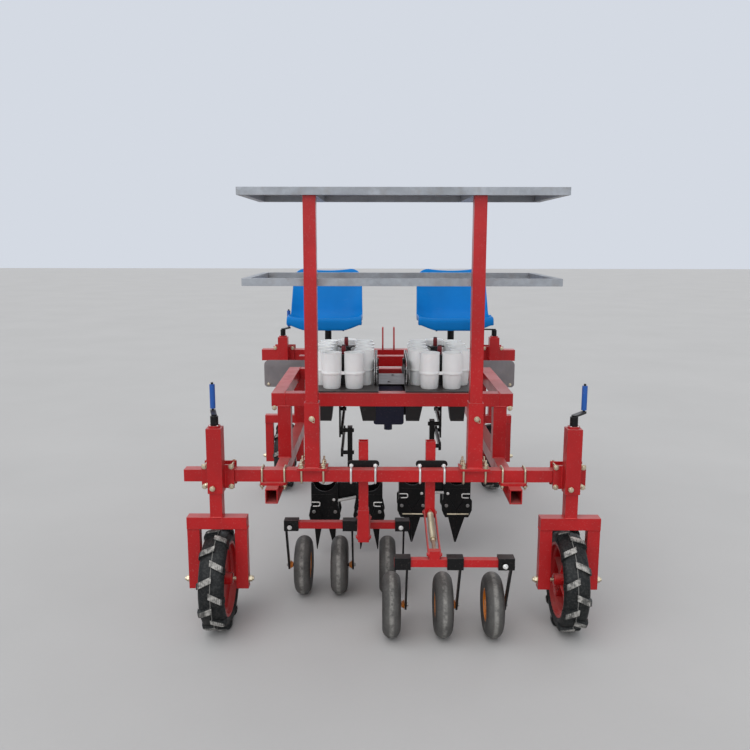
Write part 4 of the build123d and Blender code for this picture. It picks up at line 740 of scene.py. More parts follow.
def lathe(mesh, centre, outline, sides):
    """Revolves a closed outline of (x, radius) round a wheel's axle line."""
    rings = []
    for x, radius in outline:
        ring = []
        for k in range(sides):
            angle = tau * k / sides
            point = Vector(centre) + Vector((x, radius * sin(angle), radius * cos(angle)))
            ring.append(mesh.verts.new(point * MM))
        rings.append(ring)
    for low, high in zip(rings, rings[1:] + rings[:1]):
        strip(mesh, low, high)


def lug(mesh, centre, row, angle):
    """One slanted lug of a ground tyre, from the tread's middle down over its shoulder."""
    middle_x = LUG_STATIONS[-1][0] / 2
    rings = []
    for x, top, foot in LUG_STATIONS:
        lean = LUG_SLANT * (middle_x - x)
        ring = []
        for side, radius in ((-LUG_HALF_FOOT, foot), (-LUG_HALF_TOP, top), (LUG_HALF_TOP, top),
                             (LUG_HALF_FOOT, foot)):
            turn = angle - (lean + side) / WHEEL_Z
            point = Vector(centre) + Vector((row * x, -radius * sin(turn), radius * cos(turn)))
            ring.append(mesh.verts.new(point * MM))
        rings.append(ring)
    for low, high in zip(rings, rings[1:]):
        strip(mesh, low, high)
    capped(mesh, rings)


def weld(mesh, start, end, radius):
    """A weld bead along a joint, with its ripples and tapered ends."""
    a, b = Vector(start), Vector(end)
    length = (b - a).length
    count = max(4, int(length / (WELD_RIPPLE / 2)))
    points, sizes = [], []
    for k in range(count + 1):
        t = k / count
        wander = sin(k * 1.7) * 0.25 + sin(k * 0.61) * 0.3
        points.append(a.lerp(b, t) + Vector((wander, wander, wander)) * 0.5)
        fade = min(1.0, 4.0 * t + 0.35, 4.0 * (1 - t) + 0.35)
        sizes.append(radius * fade * (0.92 if k % 2 else 1.06))
    swept(mesh, points, sizes, sides=6)


def spring(mesh, start, end, radius, wire_radius, turns):
    """A coil spring between two points."""
    a, b = Vector(start), Vector(end)
    side, up, along = across_axes(b - a)
    length = (b - a).length
    steps = int(turns * 12)
    points = []
    for k in range(steps + 1):
        t = k / steps
        angle = tau * turns * t
        points.append(a + along * length * t + (side * cos(angle) + up * sin(angle)) * radius)
    swept(mesh, points, wire_radius, sides=6)


def piece(name, mesh, material, body="frame", sharp=radians(38), bevel=0.0, wall=0.0):
    """Turns a built mesh into an object that rides on a body."""
    bmesh.ops.recalc_face_normals(mesh, faces=mesh.faces)
    data = bpy.data.meshes.new(name)
    mesh.to_mesh(data)
    mesh.free()
    data.shade_smooth()
    data.set_sharp_from_angle(angle=sharp)
    made = bpy.data.objects.new(name, data)
    bpy.context.scene.collection.objects.link(made)
    data.materials.append(material)
    if wall:
        skin = made.modifiers.new("wall", "SOLIDIFY")
        skin.thickness = wall * MM
        skin.offset = -1.0
    if bevel:
        edge = made.modifiers.new("edge", "BEVEL")
        edge.width = bevel * MM
        edge.segments = 2
        edge.limit_method = "ANGLE"
    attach(made, body)
    return made


def finish(name):
    """One of the finishes that the first operator made."""
    return bpy.data.materials[LOOK + name]


# ---------------------------------------------------------------- operators

class TRANSPLANTER_OT_finishes(bpy.types.Operator):
    """Paints, plates and plastics, put on every solid of the machine"""

    bl_idname = "transplanter.finishes"
    bl_label = "Finishes"

    def execute(self, context):
        look = context.scene.transplanter_finish
        dust, cover = tuple(look.dust), look.dust_cover
        finishes = {
            "red_paint": paint("red_paint", tuple(look.red), dust, cover),
            "black_paint": paint("black_paint", tuple(look.black), shade(dust, 0.7), cover * 0.35, gloss=0.28,
                                 chip=DARK_PRIMER, edge_wear=0.30, shine=0.20, coat=0.05),
            "navy_paint": paint("navy_paint", tuple(look.navy), dust, cover * 0.5, gloss=0.34),
            "orange_paint": paint("orange_paint", tuple(look.orange), dust, cover * 0.6, gloss=0.36),
            "grey_steel": bare_metal("grey_steel", GREY_STEEL, 0.50, metallic=0.2, grain=60),
            "galvanised": bare_metal("galvanised", GALVANISED, 0.40, metallic=0.5, spangle=0.30),
            "zinc": bare_metal("zinc", YELLOW_ZINC, 0.30),
            "bright_zinc": bare_metal("bright_zinc", BRIGHT_ZINC, 0.32, metallic=0.75),
            "chain_steel": bare_metal("chain_steel", CHAIN_STEEL, 0.34),
            "spring_wire": bare_metal("spring_wire", SPRING_STEEL, 0.34, metallic=0.7),
            "weld_bead": paint("weld_bead", shade(tuple(look.red), 1.25), dust, cover, gloss=0.34,
                               round_edge=0.0006),
            "seat_plastic": moulded("seat_plastic", tuple(look.seat), shade(dust, 0.8), roughness=0.34,
                                    film=0.008, scuffed=0.02, shine=0.08),
            "grip_plastic": moulded("grip_plastic", GRIP_BLUE, dust, roughness=0.36, grain=0.2),
            "cup_plastic": moulded("cup_plastic", tuple(look.cup), shade(dust, 1.4), roughness=0.42,
                                   film=0.07, see_in=0.08, round_edge=0.0010),
            "black_plastic": moulded("black_plastic", PLAIN_BLACK, shade(dust, 0.7), roughness=0.40),
            "knob_red": moulded("knob_red", KNOB_RED, dust, roughness=0.35),
        }
        for body, names in BODIES.items():
            for name in names:
                node = NODES[name]
                slot = node.data.materials[0].name if node.data.materials else "red_paint"
                slot = slot.split(".")[0]
                if name.startswith(("tyre_", "press_tyre_")):
                    lugged = name.startswith("tyre_")
                    tread = (WHEEL_Z if lugged else PRESS_AXLE_Z) * MM
                    made = rubber(f"rubber_{name}", JOINTS[body]["pos_m"], tread, lugged)
                else:
                    made = finishes[self.slot_of(name, slot)]
                node.data.materials.clear()
                node.data.materials.append(made)
        return {"FINISHED"}

    @staticmethod
    def slot_of(name, slot):
        """The finish of a solid, by its own name where that says more than its slot."""
        for start, used in FINISH_BY_NAME:
            if name.startswith(start):
                return used
        return "red_paint" if slot not in ("black_paint", "navy_paint") else slot


class TRANSPLANTER_OT_ground_wheels(bpy.types.Operator):
    """Lugged tyres on wide rims with dished discs, in the place of the plainer solids"""

    bl_idname = "transplanter.ground_wheels"
    bl_label = "Ground wheels"

    def execute(self, context):
        for jack in JACKS:
            place = f"{'rear' if jack.y < 0 else 'front'}_{'left' if jack.x < 0 else 'right'}"
            centre = (jack.x, jack.y, WHEEL_Z)
            body = HOLDER[f"tyre_{place}"]
            tyre = bmesh.new()
            lathe(tyre, centre, TYRE_OUTLINE, 96)
            for row in (-1, 1):
                for k in range(LUG_COUNT):
                    lug(tyre, centre, row, tau * (k + (0 if row < 0 else 0.5)) / LUG_COUNT)
            made = piece(f"lugged_tyre_{place}", tyre, finish(f"rubber_tyre_{place}"), body,
                         bevel=1.2)
            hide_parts(f"tyre_{place}")
            rim = bmesh.new()
            for outline, sides in ((RIM_OUTLINE, 80), (DISC_OUTLINE, 64), (HUB_OUTLINE, 32)):
                lathe(rim, centre, outline, sides)
            for k in range(RIM_RIBS):
                angle = tau * k / RIM_RIBS
                out = Vector((0, sin(angle), cos(angle)))
                across = Vector((0, cos(angle), -sin(angle))) * RIB_THICKNESS
                outline = [Vector(centre) + out * radius + Vector((x, 0, 0)) - across / 2
                           for x, radius in RIB_OUTLINE]
                slab(rim, outline, across)
            made = piece(f"dished_rim_{place}", rim, finish("red_paint"), body, bevel=0.8)
            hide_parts(f"rim_{place}")
        return {"FINISHED"}


class TRANSPLANTER_OT_seat_shells(bpy.types.Operator):
    """Moulded seats: a dished pan, a deep lip cut away at its corners, and a rim turned back all round"""

    bl_idname = "transplanter.seat_shells"
    bl_label = "Seats"

    def execute(self, context):
        line = [Vector(p) for p in eased([(0, y, z) for y, z in SEAT_LINE], SEAT_REACHES, 12)]
        marks = [0.0]
        for a, b in zip(line, line[1:]):
            marks.append(marks[-1] + (b - a).length)
        mesh = bmesh.new()
        for side in (-1, 1):
            self.shell(mesh, side * SEAT_X, line, marks)
        made = piece("seat_shells", mesh, finish("seat_plastic"), sharp=radians(75),
                     wall=SEAT_SKIN)
        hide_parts("seats")
        bolts = bmesh.new()
        for side in (-1, 1):
            for x in (-SEAT_BOLT_X, SEAT_BOLT_X):
                turned(bolts, (side * SEAT_X + x, SEAT_BOLT_Y, SEAT_LIP_Z), (0, 0, -1), SEAT_BOLT, 12)
        piece("seat_bolts", bolts, finish("black_plastic"))
        return {"FINISHED"}

    @staticmethod
    def spot(line, marks, s):
        """The point and direction at a distance along the seat's middle line."""
        k = 0
        while k < len(marks) - 2 and marks[k + 1] < s:
            k += 1
        a, b = line[k], line[k + 1]
        return a.lerp(b, (s - marks[k]) / (marks[k + 1] - marks[k])), (b - a).normalized()

    def shell(self, mesh, centre_x, line, marks, columns=30, rows=46):
        """One seat's skin, a grid bent along the middle line, with its edge turned back."""
        start, end = SEAT_LIP_Z - SEAT_LINE[0][1], marks[-1]
        (_, pan), (_, top) = SEAT_LINE[2], SEAT_LINE[-1]
        flat = SEAT_HALF - SEAT_CORNER
        grid = []
        for i in range(columns + 1):
            u = sin(pi / 2 * (2 * i / columns - 1))
            out = abs(u) * SEAT_HALF
            rise = SEAT_LIP_RISE * held((out - SEAT_RISE_FROM) / SEAT_RISE_OVER) ** 1.2
            corner = max(0.0, out - flat)
            fall = SEAT_CORNER - sqrt(max(0.0, SEAT_CORNER ** 2 - corner ** 2))
            fall += SEAT_TOP_DIP * max(0.0, 1 - (out / flat) ** 2)
            column = []
            for j in range(rows + 1):
                s = (start + rise) + (end - fall - start - rise) * j / rows
                point, along = self.spot(line, marks, s)
                normal = Vector((0, -along.z, along.y))
                half = SEAT_HALF + (SEAT_TOP_HALF - SEAT_HALF) * held((point.z - pan) / (top - pan))
                # the hollow fades out towards the lip, and in part towards the top
                dish = held((s - start - 50) / 110) * held((end - s - 60) / 170, 0.35)
                side = max(0.0, (abs(u) - SEAT_SWELL_FROM) / (1 - SEAT_SWELL_FROM))
                swell = SEAT_SWELL * dish * side ** 1.8
                column.append((point + Vector((centre_x + u * half, 0, 0)) + normal * swell, normal))
            grid.append(column)
        verts = [[mesh.verts.new(point * MM) for point, _ in column] for column in grid]
        for i in range(columns):
            for j in range(rows):
                mesh.faces.new((verts[i][j], verts[i + 1][j], verts[i + 1][j + 1], verts[i][j + 1]))
        loop = [(i, 0) for i in range(columns)] + [(columns, j) for j in range(rows)]
        loop += [(columns - i, rows) for i in range(columns)] + [(0, rows - j) for j in range(rows)]
        before = [verts[i][j] for i, j in loop]
        for outward, back in SEAT_RIM:
            ring = []
            for k, (i, j) in enumerate(loop):
                point, normal = grid[i][j]
                a, b = loop[k - 1], loop[(k + 1) % len(loop)]
                run = (grid[b[0]][b[1]][0] - grid[a[0]][a[1]][0]).normalized()
                ring.append(mesh.verts.new((point + run.cross(normal) * outward - normal * back) * MM))
            for k in range(len(loop)):
                n = (k + 1) % len(loop)
                mesh.faces.new((before[k], ring[k], ring[n], before[n]))
            before = ring


class TRANSPLANTER_OT_sheet_plates(bpy.types.Operator):
    """Guard plates with a rounded upper corner, and the bare plate between the two trays"""

    bl_idname = "transplanter.sheet_plates"
    bl_label = "Guards and deck plate"

    def execute(self, context):
        guards = bmesh.new()
        for side in (-1, 1):
            outline = [(GUARD_IN, GUARD_LOW), (GUARD_OUT - GUARD_CUT, GUARD_LOW),
                       (GUARD_OUT, GUARD_LOW + GUARD_CUT)]
            outline += arc(GUARD_OUT - GUARD_CORNER, GUARD_TOP - GUARD_CORNER, GUARD_CORNER, 0.0, pi / 2, 8)
            outline.append((GUARD_IN, GUARD_TOP))
            slab(guards, [(side * x, GUARD_Y, z) for x, z in outline], (0, -GUARD_SHEET, 0))
        made = piece("guard_plates", guards, finish("grey_steel"), bevel=0.6)
        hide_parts("side_guards")
        deck = bmesh.new()
        corners = ((-DECK_HALF, DECK_REAR_Y), (DECK_HALF, DECK_REAR_Y), (DECK_HALF, DECK_FRONT_Y),
                   (-DECK_HALF, DECK_FRONT_Y))
        slab(deck, [(x, y, DECK_LOW) for x, y in corners], (0, 0, DECK_SHEET))
        for x, y in DECK_BOLTS:
            bolt_head(deck, (x, y, DECK_LOW + DECK_SHEET), (0, 0, 1), 6.5, 0.3)
        piece("deck_plate", deck, finish("grey_steel"), bevel=0.5)
        return {"FINISHED"}


class TRANSPLANTER_OT_bar_bolts(bpy.types.Operator):
    """U-bolts that hold the rails, the rack's posts and the press gangs on the rear bar"""

    bl_idname = "transplanter.bar_bolts"
    bl_label = "Rear bar's U-bolts"

    def execute(self, context):
        size = context.scene.transplanter_fitting
        r = size.u_bolt / MM
        back, front = REAR_BAR_BACK_Y - r - U_BOLT_GAP, REAR_BAR_FRONT_Y + r + U_BOLT_GAP
        top, low = REAR_BAR_TOP + r + U_BOLT_GAP, REAR_BAR_BOTTOM - r - U_BOLT_GAP
        plain, bright = bmesh.new(), bmesh.new()
        for bolt in U_BOLTS:
            turn = bolt.x * 0.01
            if bolt.seat is None:
                line = ((GANG_LEG_Y, top), (back, top), (back, low), (GANG_LEG_Y, low))
                line = [(bolt.x, y, z) for y, z in line]
                swept(bright, eased(line, U_BOLT_BEND, 6), r, sides=12)
                nut(bright, (bolt.x, GANG_PLATE_Y, top + 3), (0, -1, 0), 9.6, 7.5, turn)
                for z in (top, low):
                    bolt_end(bright, (bolt.x, GANG_TIP_Y, z), (0, 1, 0), r, 1, 8.0, tip=6)
                continue
            up, bend = (1, low) if bolt.nuts_up else (-1, top)
            ends = bolt.seat + up * WASHER
            line = [(bolt.x, y, z) for y, z in ((back, ends), (back, bend), (front, bend), (front, ends))]
            swept(plain, eased(line, U_BOLT_BEND, 6), r, sides=12)
            for y in (back, front):
                bolt_end(plain, (bolt.x, y, bolt.seat), (0, 0, up), r, bolt.stack, size.nut / MM,
                         tip=16.0 if bolt.stack > 1 else 9.0, turn=turn)
        piece("bar_u_bolts", plain, finish("zinc"), bevel=0.35)
        piece("gang_u_bolts", bright, finish("bright_zinc"), bevel=0.35)
        return {"FINISHED"}


class TRANSPLANTER_OT_gang_plates(bpy.types.Operator):
    """Black plates above and below the rear bar, which the press gangs' U-bolts pass through"""

    bl_idname = "transplanter.gang_plates"
    bl_label = "Press gangs' bar plates"

    def execute(self, context):
        mesh = bmesh.new()
        for middle in GANG_PLATES_X:
            for low, high in GANG_PLATES_Z:
                radius = (high - low) / 2
                reach = GANG_PLATE_HALF - radius
                outline = arc(middle + reach, low + radius, radius, -pi / 2, pi, 8)
                outline += arc(middle - reach, low + radius, radius, pi / 2, pi, 8)
                slab(mesh, [(x, GANG_PLATE_Y, z) for x, z in outline], (0, GANG_PLATE_SHEET, 0))
        piece("gang_bar_plates", mesh, finish("black_paint"), bevel=0.8)
        return {"FINISHED"}


class TRANSPLANTER_OT_jack_bolts(bpy.types.Operator):
    """Clamp bolts and set bolts of the four screw jacks, and the screws of their bearing caps"""

    bl_idname = "transplanter.jack_bolts"
    bl_label = "Jacks' bolts"

    def execute(self, context):
        zinc = bmesh.new()
        for jack in JACKS:
            for side in (-1, 1):
                for rise in (-jack.reach_z, jack.reach_z):
                    x, z = jack.x + side * CLAMP_BOLT_X, jack.bar_z + rise
                    shank = ((CLAMP_BOLT, 0), (CLAMP_BOLT, jack.front - jack.back))
                    turned(zinc, (x, jack.back, z), (0, 1, 0), shank, 12)
                    bolt_head(zinc, (x, jack.back, z), (0, -1, 0), CLAMP_NUT, turn=side * rise * 0.03)
                    bolt_end(zinc, (x, jack.front, z), (0, 1, 0), CLAMP_BOLT, 1, CLAMP_NUT, tip=8.0,
                             turn=rise * 0.05)
            # set bolts through the sleeve's rear and outer sides
            face = jack.y - SLEEVE_HALF
            nut(zinc, (jack.x - 9, face, jack.set_z), (0, -1, 0), 11.5, 9.5, turn=0.3)
            bolt_head(zinc, (jack.x - 9, face - 9.5, jack.set_z), (0, -1, 0), 9.0, turn=0.1)
            out = 1 if jack.x > 0 else -1
            face = jack.x + out * SLEEVE_HALF
            nut(zinc, (face, jack.y, jack.set_z + 4), (out, 0, 0), 10.5, 8.5, turn=0.2)
            bolt_head(zinc, (face + out * 8.5, jack.y, jack.set_z + 4), (out, 0, 0), 8.6)
        piece("jack_bolts", zinc, finish("zinc"), bevel=0.35)
        caps = bmesh.new()
        for jack in JACKS:
            for x, y in arc(jack.x, jack.y, CAP_SCREW_REACH, tau / 8, tau * 3 / 4, 3):
                turned(caps, (x, y, jack.sleeve_top + 9), (0, 0, 1), CAP_SCREW, 10)
        piece("jack_cap_screws", caps, finish("bright_zinc"))
        return {"FINISHED"}


class TRANSPLANTER_OT_welds(bpy.types.Operator):
    """Weld beads where tubes and plates of the frame meet"""

    bl_idname = "transplanter.welds"
    bl_label = "Weld beads"

    def execute(self, context):
        radius = context.scene.transplanter_fitting.bead / MM
        mesh = bmesh.new()
        for jack in JACKS:
            x, y = jack.x, jack.y
            for side in (-1, 1):
                # crown to fork leg, on both faces, and crown to stem
                inner, outer = x + side * FORK_IN, x + side * FORK_OUT
                rear, front = y - FORK_HALF_Y, y + FORK_HALF_Y
                for face in (rear, front):
                    weld(mesh, (inner, face, CROWN_LOW), (outer, face, CROWN_LOW), radius)
                weld(mesh, (outer, rear, CROWN_LOW), (outer, front, CROWN_LOW), radius)
                edge = x + side * STEM_HALF
                weld(mesh, (edge, y - STEM_HALF, CROWN_TOP), (edge, y + STEM_HALF, CROWN_TOP), radius)
                edge = y + side * STEM_HALF
                weld(mesh, (x - STEM_HALF, edge, CROWN_TOP), (x + STEM_HALF, edge, CROWN_TOP), radius)
                # sleeve to its clamp plate
                edge = x + side * SLEEVE_HALF
                low, high = jack.bar_z - jack.reach_z - 6, jack.bar_z + jack.reach_z + 6
                weld(mesh, (edge, jack.back, max(low, jack.sleeve_low)), (edge, jack.back, high), radius)
        rear, front = UPRIGHTS_Y[0] - TUBE_HALF, UPRIGHTS_Y[0] + TUBE_HALF
        middle, end = UPRIGHTS_Y[1] - TUBE_HALF, UPRIGHTS_Y[1] + TUBE_HALF
        for side in (-1, 1):
            inner, outer, corner = side * TUBE_IN, side * TUBE_OUT, side * CORNER_X
            # uprights on the rails
            for y in UPRIGHTS_Y:
                for face in (y - TUBE_HALF, y + TUBE_HALF):
                    weld(mesh, (inner, face, RAIL_TOP), (outer, face, RAIL_TOP), radius)
                weld(mesh, (outer, y - TUBE_HALF, RAIL_TOP), (outer, y + TUBE_HALF, RAIL_TOP), radius)
            # uprights under the upper frame
            for y in (rear, front, end):
                weld(mesh, (inner, y, UPPER_LOW), (outer, y, UPPER_LOW), radius)
            # corners of the upper frame
            for start, stop in (((front, UPPER_TOP), (rear, UPPER_TOP)),
                                ((rear, UPPER_TOP), (rear, UPPER_LOW)),
                                ((middle, UPPER_TOP), (end, UPPER_TOP))):
                weld(mesh, (corner, *start), (corner, *stop), radius * 0.8)
            # post sockets on their base plates
            x = side * POST_X
            for face in (SOCKET_Y - SLEEVE_HALF, SOCKET_Y + SLEEVE_HALF):
                weld(mesh, (x - TUBE_HALF, face, SOCKET_Z), (x + TUBE_HALF, face, SOCKET_Z), radius)
            for face in (x - SLEEVE_HALF, x + SLEEVE_HALF):
                weld(mesh, (face, SOCKET_Y - SLEEVE_HALF, SOCKET_Z), (face, SOCKET_Y + SLEEVE_HALF, SOCKET_Z),
                     radius)
        piece("weld_beads", mesh, finish("weld_bead"), sharp=radians(80))
        return {"FINISHED"}


class TRANSPLANTER_OT_post_bolts(bpy.types.Operator):
    """Bolts through the rack's posts and the side guards, and hook bolts under the upper frame"""

    bl_idname = "transplanter.post_bolts"
    bl_label = "Posts' and guards' bolts"

    def execute(self, context):
        mesh = bmesh.new()
        for side in (-1, 1):
            x = side * POST_X + (4 if side > 0 else 0)  # the right post's bolt sits a little off its middle
            bolt_head(mesh, (x, POST_BACK_Y, POST_BOLT_Z), (0, -1, 0), 9.5, turn=0.2)
            bolt_end(mesh, (x, POST_FRONT_Y, POST_BOLT_Z), (0, 1, 0), 5.5, 1, 10.0, tip=7)
            # split pin behind the bolt's head
            swept(mesh, eased([(x + out, y, z) for out, y, z in POST_PIN], 5), 1.3, sides=8)
            face = GUARD_Y - GUARD_SHEET - 0.1  # just clear of the sheet
            for reach, z, turn in GUARD_BOLTS:
                bolt_head(mesh, (side * reach, face, z), (0, -1, 0), 7.0, turn=turn)
            # hook bolts under the upper frame's rear corners
            x, y, z = HOOK_BOLT
            bolt_end(mesh, (side * x, y, z), (0, -1, 0), 5.0, 1, 9.5, tip=7)
        piece("post_bolts", mesh, finish("zinc"), bevel=0.35)
        return {"FINISHED"}


class TRANSPLANTER_OT_wheel_washers(bpy.types.Operator):
    """Washers and split pins on the ground wheels' axle bolts"""

    bl_idname = "transplanter.wheel_washers"
    bl_label = "Axles' washers and pins"

    def execute(self, context):
        mesh = bmesh.new()
        for jack in JACKS:
            for side in (-1, 1):
                face = jack.x + side * FORK_OUT
                washer(mesh, (face, jack.y, WHEEL_Z), (side, 0, 0), AXLE_WASHER, AXLE_WASHER_THICK)
                x, pin = face + side * AXLE_PIN_OUT, ((-13, WHEEL_Z), (12, WHEEL_Z), (12, WHEEL_Z + 6))
                swept(mesh, eased([(x, jack.y + y, z) for y, z in pin], 3), 1.4, sides=8)
        piece("axle_washers", mesh, finish("zinc"), bevel=0.2)
        return {"FINISHED"}


class TRANSPLANTER_OT_gang_bolts(bpy.types.Operator):
    """Bolts of the press gangs' clamps, and the nuts and bosses of the press wheels"""

    bl_idname = "transplanter.gang_bolts"
    bl_label = "Press gangs' bolts"

    def execute(self, context):
        clamp_bolts, nuts, bosses = bmesh.new(), bmesh.new(), bmesh.new()
        for gang in GANGS:
            for n, x in enumerate(gang.clamps):
                if x in CLAMPS_WITH_BOLTS:
                    spot = (x - 6, gang.bar_y - CLAMP_BACK, gang.bar_z - 4)
                    bolt_end(clamp_bolts, spot, (0, -1, 0), 4.5, 1, 8.5, tip=8, turn=0.3 * n)
            for strap, wheel in zip(gang.straps, gang.wheels):
                out = 1 if strap > wheel else -1
                bolt_head(nuts, (strap + out * 5, gang.wheel_y, PRESS_AXLE_Z), (out, 0, 0), 7.0)
                turned(bosses, (strap - out * 5, gang.wheel_y, PRESS_AXLE_Z), (-out, 0, 0), PRESS_BOSS, 24)
        piece("gang_bolts", clamp_bolts, finish("bright_zinc"), bevel=0.3)
        piece("press_wheel_nuts", nuts, finish("chain_steel"), bevel=0.3)
        piece("press_bosses", bosses, finish("orange_paint"), bevel=0.4)
        return {"FINISHED"}


class TRANSPLANTER_OT_gang_springs(bpy.types.Operator):
    """Down-pressure spring on its rod, between the right press gang's links"""

    bl_idname = "transplanter.gang_springs"
    bl_label = "Press gangs' springs"

    def execute(self, context):
        mesh = bmesh.new()
        top, low = Vector(GANG_SPRING_TOP), Vector(GANG_SPRING_LOW)
        slope = (low - top).normalized()
        turned(mesh, top, slope, ((GANG_ROD, 0), (GANG_ROD, (low - top).length)), 16)
        first, last = GANG_COIL
        spring(mesh, top + slope * first, top + slope * last, 11.5, 2.4, 24)
        washer(mesh, top + slope * (first - 4), slope, 14, 3)
        washer(mesh, top + slope * (last + 1), slope, 14, 3)
        nut(mesh, top + slope * (last + 5), slope, 10.5, 8)
        piece("gang_spring_rod", mesh, finish("zinc"), bevel=0.2)
        return {"FINISHED"}


class TRANSPLANTER_OT_ring_chains(bpy.types.Operator):
    """Links and pins of the two roller chains that drive the cup rings"""

    bl_idname = "transplanter.ring_chains"
    bl_label = "Rings' roller chains"

    def execute(self, context):
        pitch = context.scene.transplanter_fitting.chain_pitch / MM
        lap = 2 * (CHAIN_FRONT_Y - CHAIN_REAR_Y) + tau * CHAIN_RADIUS
        count = 2 * int(lap / pitch / 2)
        pins = [oval(lap * n / count, CHAIN_REAR_Y, CHAIN_FRONT_Y, CHAIN_RADIUS) for n in range(count + 1)]
        pins = [(y, CHAIN_Z + rise) for y, rise in pins]
        mesh = bmesh.new()
        for side in (-1, 1):
            for n in range(count):
                (y0, z0), (y1, z1) = pins[n], pins[n + 1]
                angle = atan2(z1 - z0, y1 - y0)
                outline = arc(y1, z1, CHAIN_LINK, angle - pi / 2, pi, 4)
                outline += arc(y0, z0, CHAIN_LINK, angle + pi / 2, pi, 4)
                lift = CHAIN_PLATE if n % 2 else 0.1  # every other link lies outside its neighbours
                for face, out in ((CHAIN_X[0], -1), (CHAIN_X[1], 1)):
                    x = side * (face + out * lift)
                    slab(mesh, [(x, y, z) for y, z in outline], (side * out * CHAIN_PLATE, 0, 0))
                pin = ((CHAIN_PIN, 0), (CHAIN_PIN, CHAIN_X[1] - CHAIN_X[0] + 2 * CHAIN_PIN_OUT))
                turned(mesh, (side * (CHAIN_X[0] - CHAIN_PIN_OUT), y0, z0), (side, 0, 0), pin, 8)
        piece("ring_chains", mesh, finish("bright_zinc"))
        return {"FINISHED"}


def cup_places():
    """Centres of the cups round the right ring, evenly spaced."""
    straight, bend = RING_FRONT_Y - RING_REAR_Y, pi * RING_RADIUS
    step, first = 2 * (straight + bend) / CUP_COUNT, straight + bend / 2
    places = [oval(first + n * step, RING_REAR_Y, RING_FRONT_Y, RING_RADIUS) for n in range(CUP_COUNT)]
    return [(RING_X + across, along) for along, across in places]


class TRANSPLANTER_OT_cup_shells(bpy.types.Operator):
    """The seedling cups with their collars and rims, and the band that joins each ring of them"""

    bl_idname = "transplanter.cup_shells"
    bl_label = "Cups and bands"

    def execute(self, context):
        mesh = bmesh.new()
        for side in (-1, 1):
            for x, y in cup_places():
                turned(mesh, (side * x, y, CUP_FOOT), (0, 0, 1), CUP_OUTLINE, 40)
            self.band(mesh, side)
        made = piece("cup_shells", mesh, finish("cup_plastic"), sharp=radians(42))
        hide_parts("cup_rings")
        return {"FINISHED"}

    @staticmethod
    def band(mesh, side, steps=20):
        """The flat ring that joins one side's cups."""
        rings = []
        for end, start in ((RING_FRONT_Y, 0.0), (RING_REAR_Y, pi)):
            for k in range(steps + 1):
                angle = start + pi * k / steps
                ring = []
                for radius, z in ((RING_RADIUS - BAND_HALF, BAND_LOW), (RING_RADIUS + BAND_HALF, BAND_LOW),
                                  (RING_RADIUS + BAND_HALF, BAND_HIGH), (RING_RADIUS - BAND_HALF, BAND_HIGH)):
                    point = Vector((side * (RING_X + radius * cos(angle)), end + radius * sin(angle), z))
                    ring.append(mesh.verts.new(point * MM))
                rings.append(ring)
        for low, high in zip(rings, rings[1:] + rings[:1]):
            strip(mesh, low, high)


class TRANSPLANTER_OT_cup_ribs(bpy.types.Operator):
    """Fine moulded ribs of the seedling cups"""

    bl_idname = "transplanter.cup_ribs"
    bl_label = "Cups' ribs"

    def execute(self, context):
        ribs = context.scene.transplanter_fitting.cup_ribs
        mesh = bmesh.new()
        for side in (-1, 1):
            for cx, cy in cup_places():
                for k in range(ribs):
                    angle = tau * k / ribs
                    out = Vector((cos(angle), sin(angle), 0))
                    tangent = Vector((-sin(angle), cos(angle), 0)) * RIB_HALF
                    base = Vector((side * cx, cy, 0))
                    a = base + out * (CUP_FOOT_RADIUS + 0.4) + Vector((0, 0, CUP_FOOT + 6))
                    b = base + out * (CUP_WAIST_RADIUS + 0.5) + Vector((0, 0, CUP_WAIST - 2))
                    edges = (-tangent, out * RIB_RISE, tangent)
                    low, high = ([mesh.verts.new((end + edge) * MM) for edge in edges] for end in (a, b))
                    strip(mesh, low, high)
                    capped(mesh, (low, high))
        piece("cup_ribs", mesh, finish("cup_plastic"))
        return {"FINISHED"}


class TRANSPLANTER_OT_ring_knobs(bpy.types.Operator):
    """Red knobs on the rings' spiders, and the nuts beside them"""

    bl_idname = "transplanter.ring_knobs"
    bl_label = "Rings' knobs"

    def execute(self, context):
        knobs = bmesh.new()
        nuts = bmesh.new()
        for side in (-1, 1):
            for y in (RING_REAR_Y, RING_FRONT_Y):
                turned(knobs, (side * RING_X, y, KNOB_Z), (0, 0, 1), KNOB, 24)
                for right, forward, turn in RING_NUTS:
                    nut(nuts, (side * RING_X + right, y + forward, KNOB_Z - 1), (0, 0, 1), 7, 5, turn)
        piece("ring_knobs", knobs, finish("knob_red"))
        piece("ring_nuts", nuts, finish("bright_zinc"), bevel=0.2)
        return {"FINISHED"}


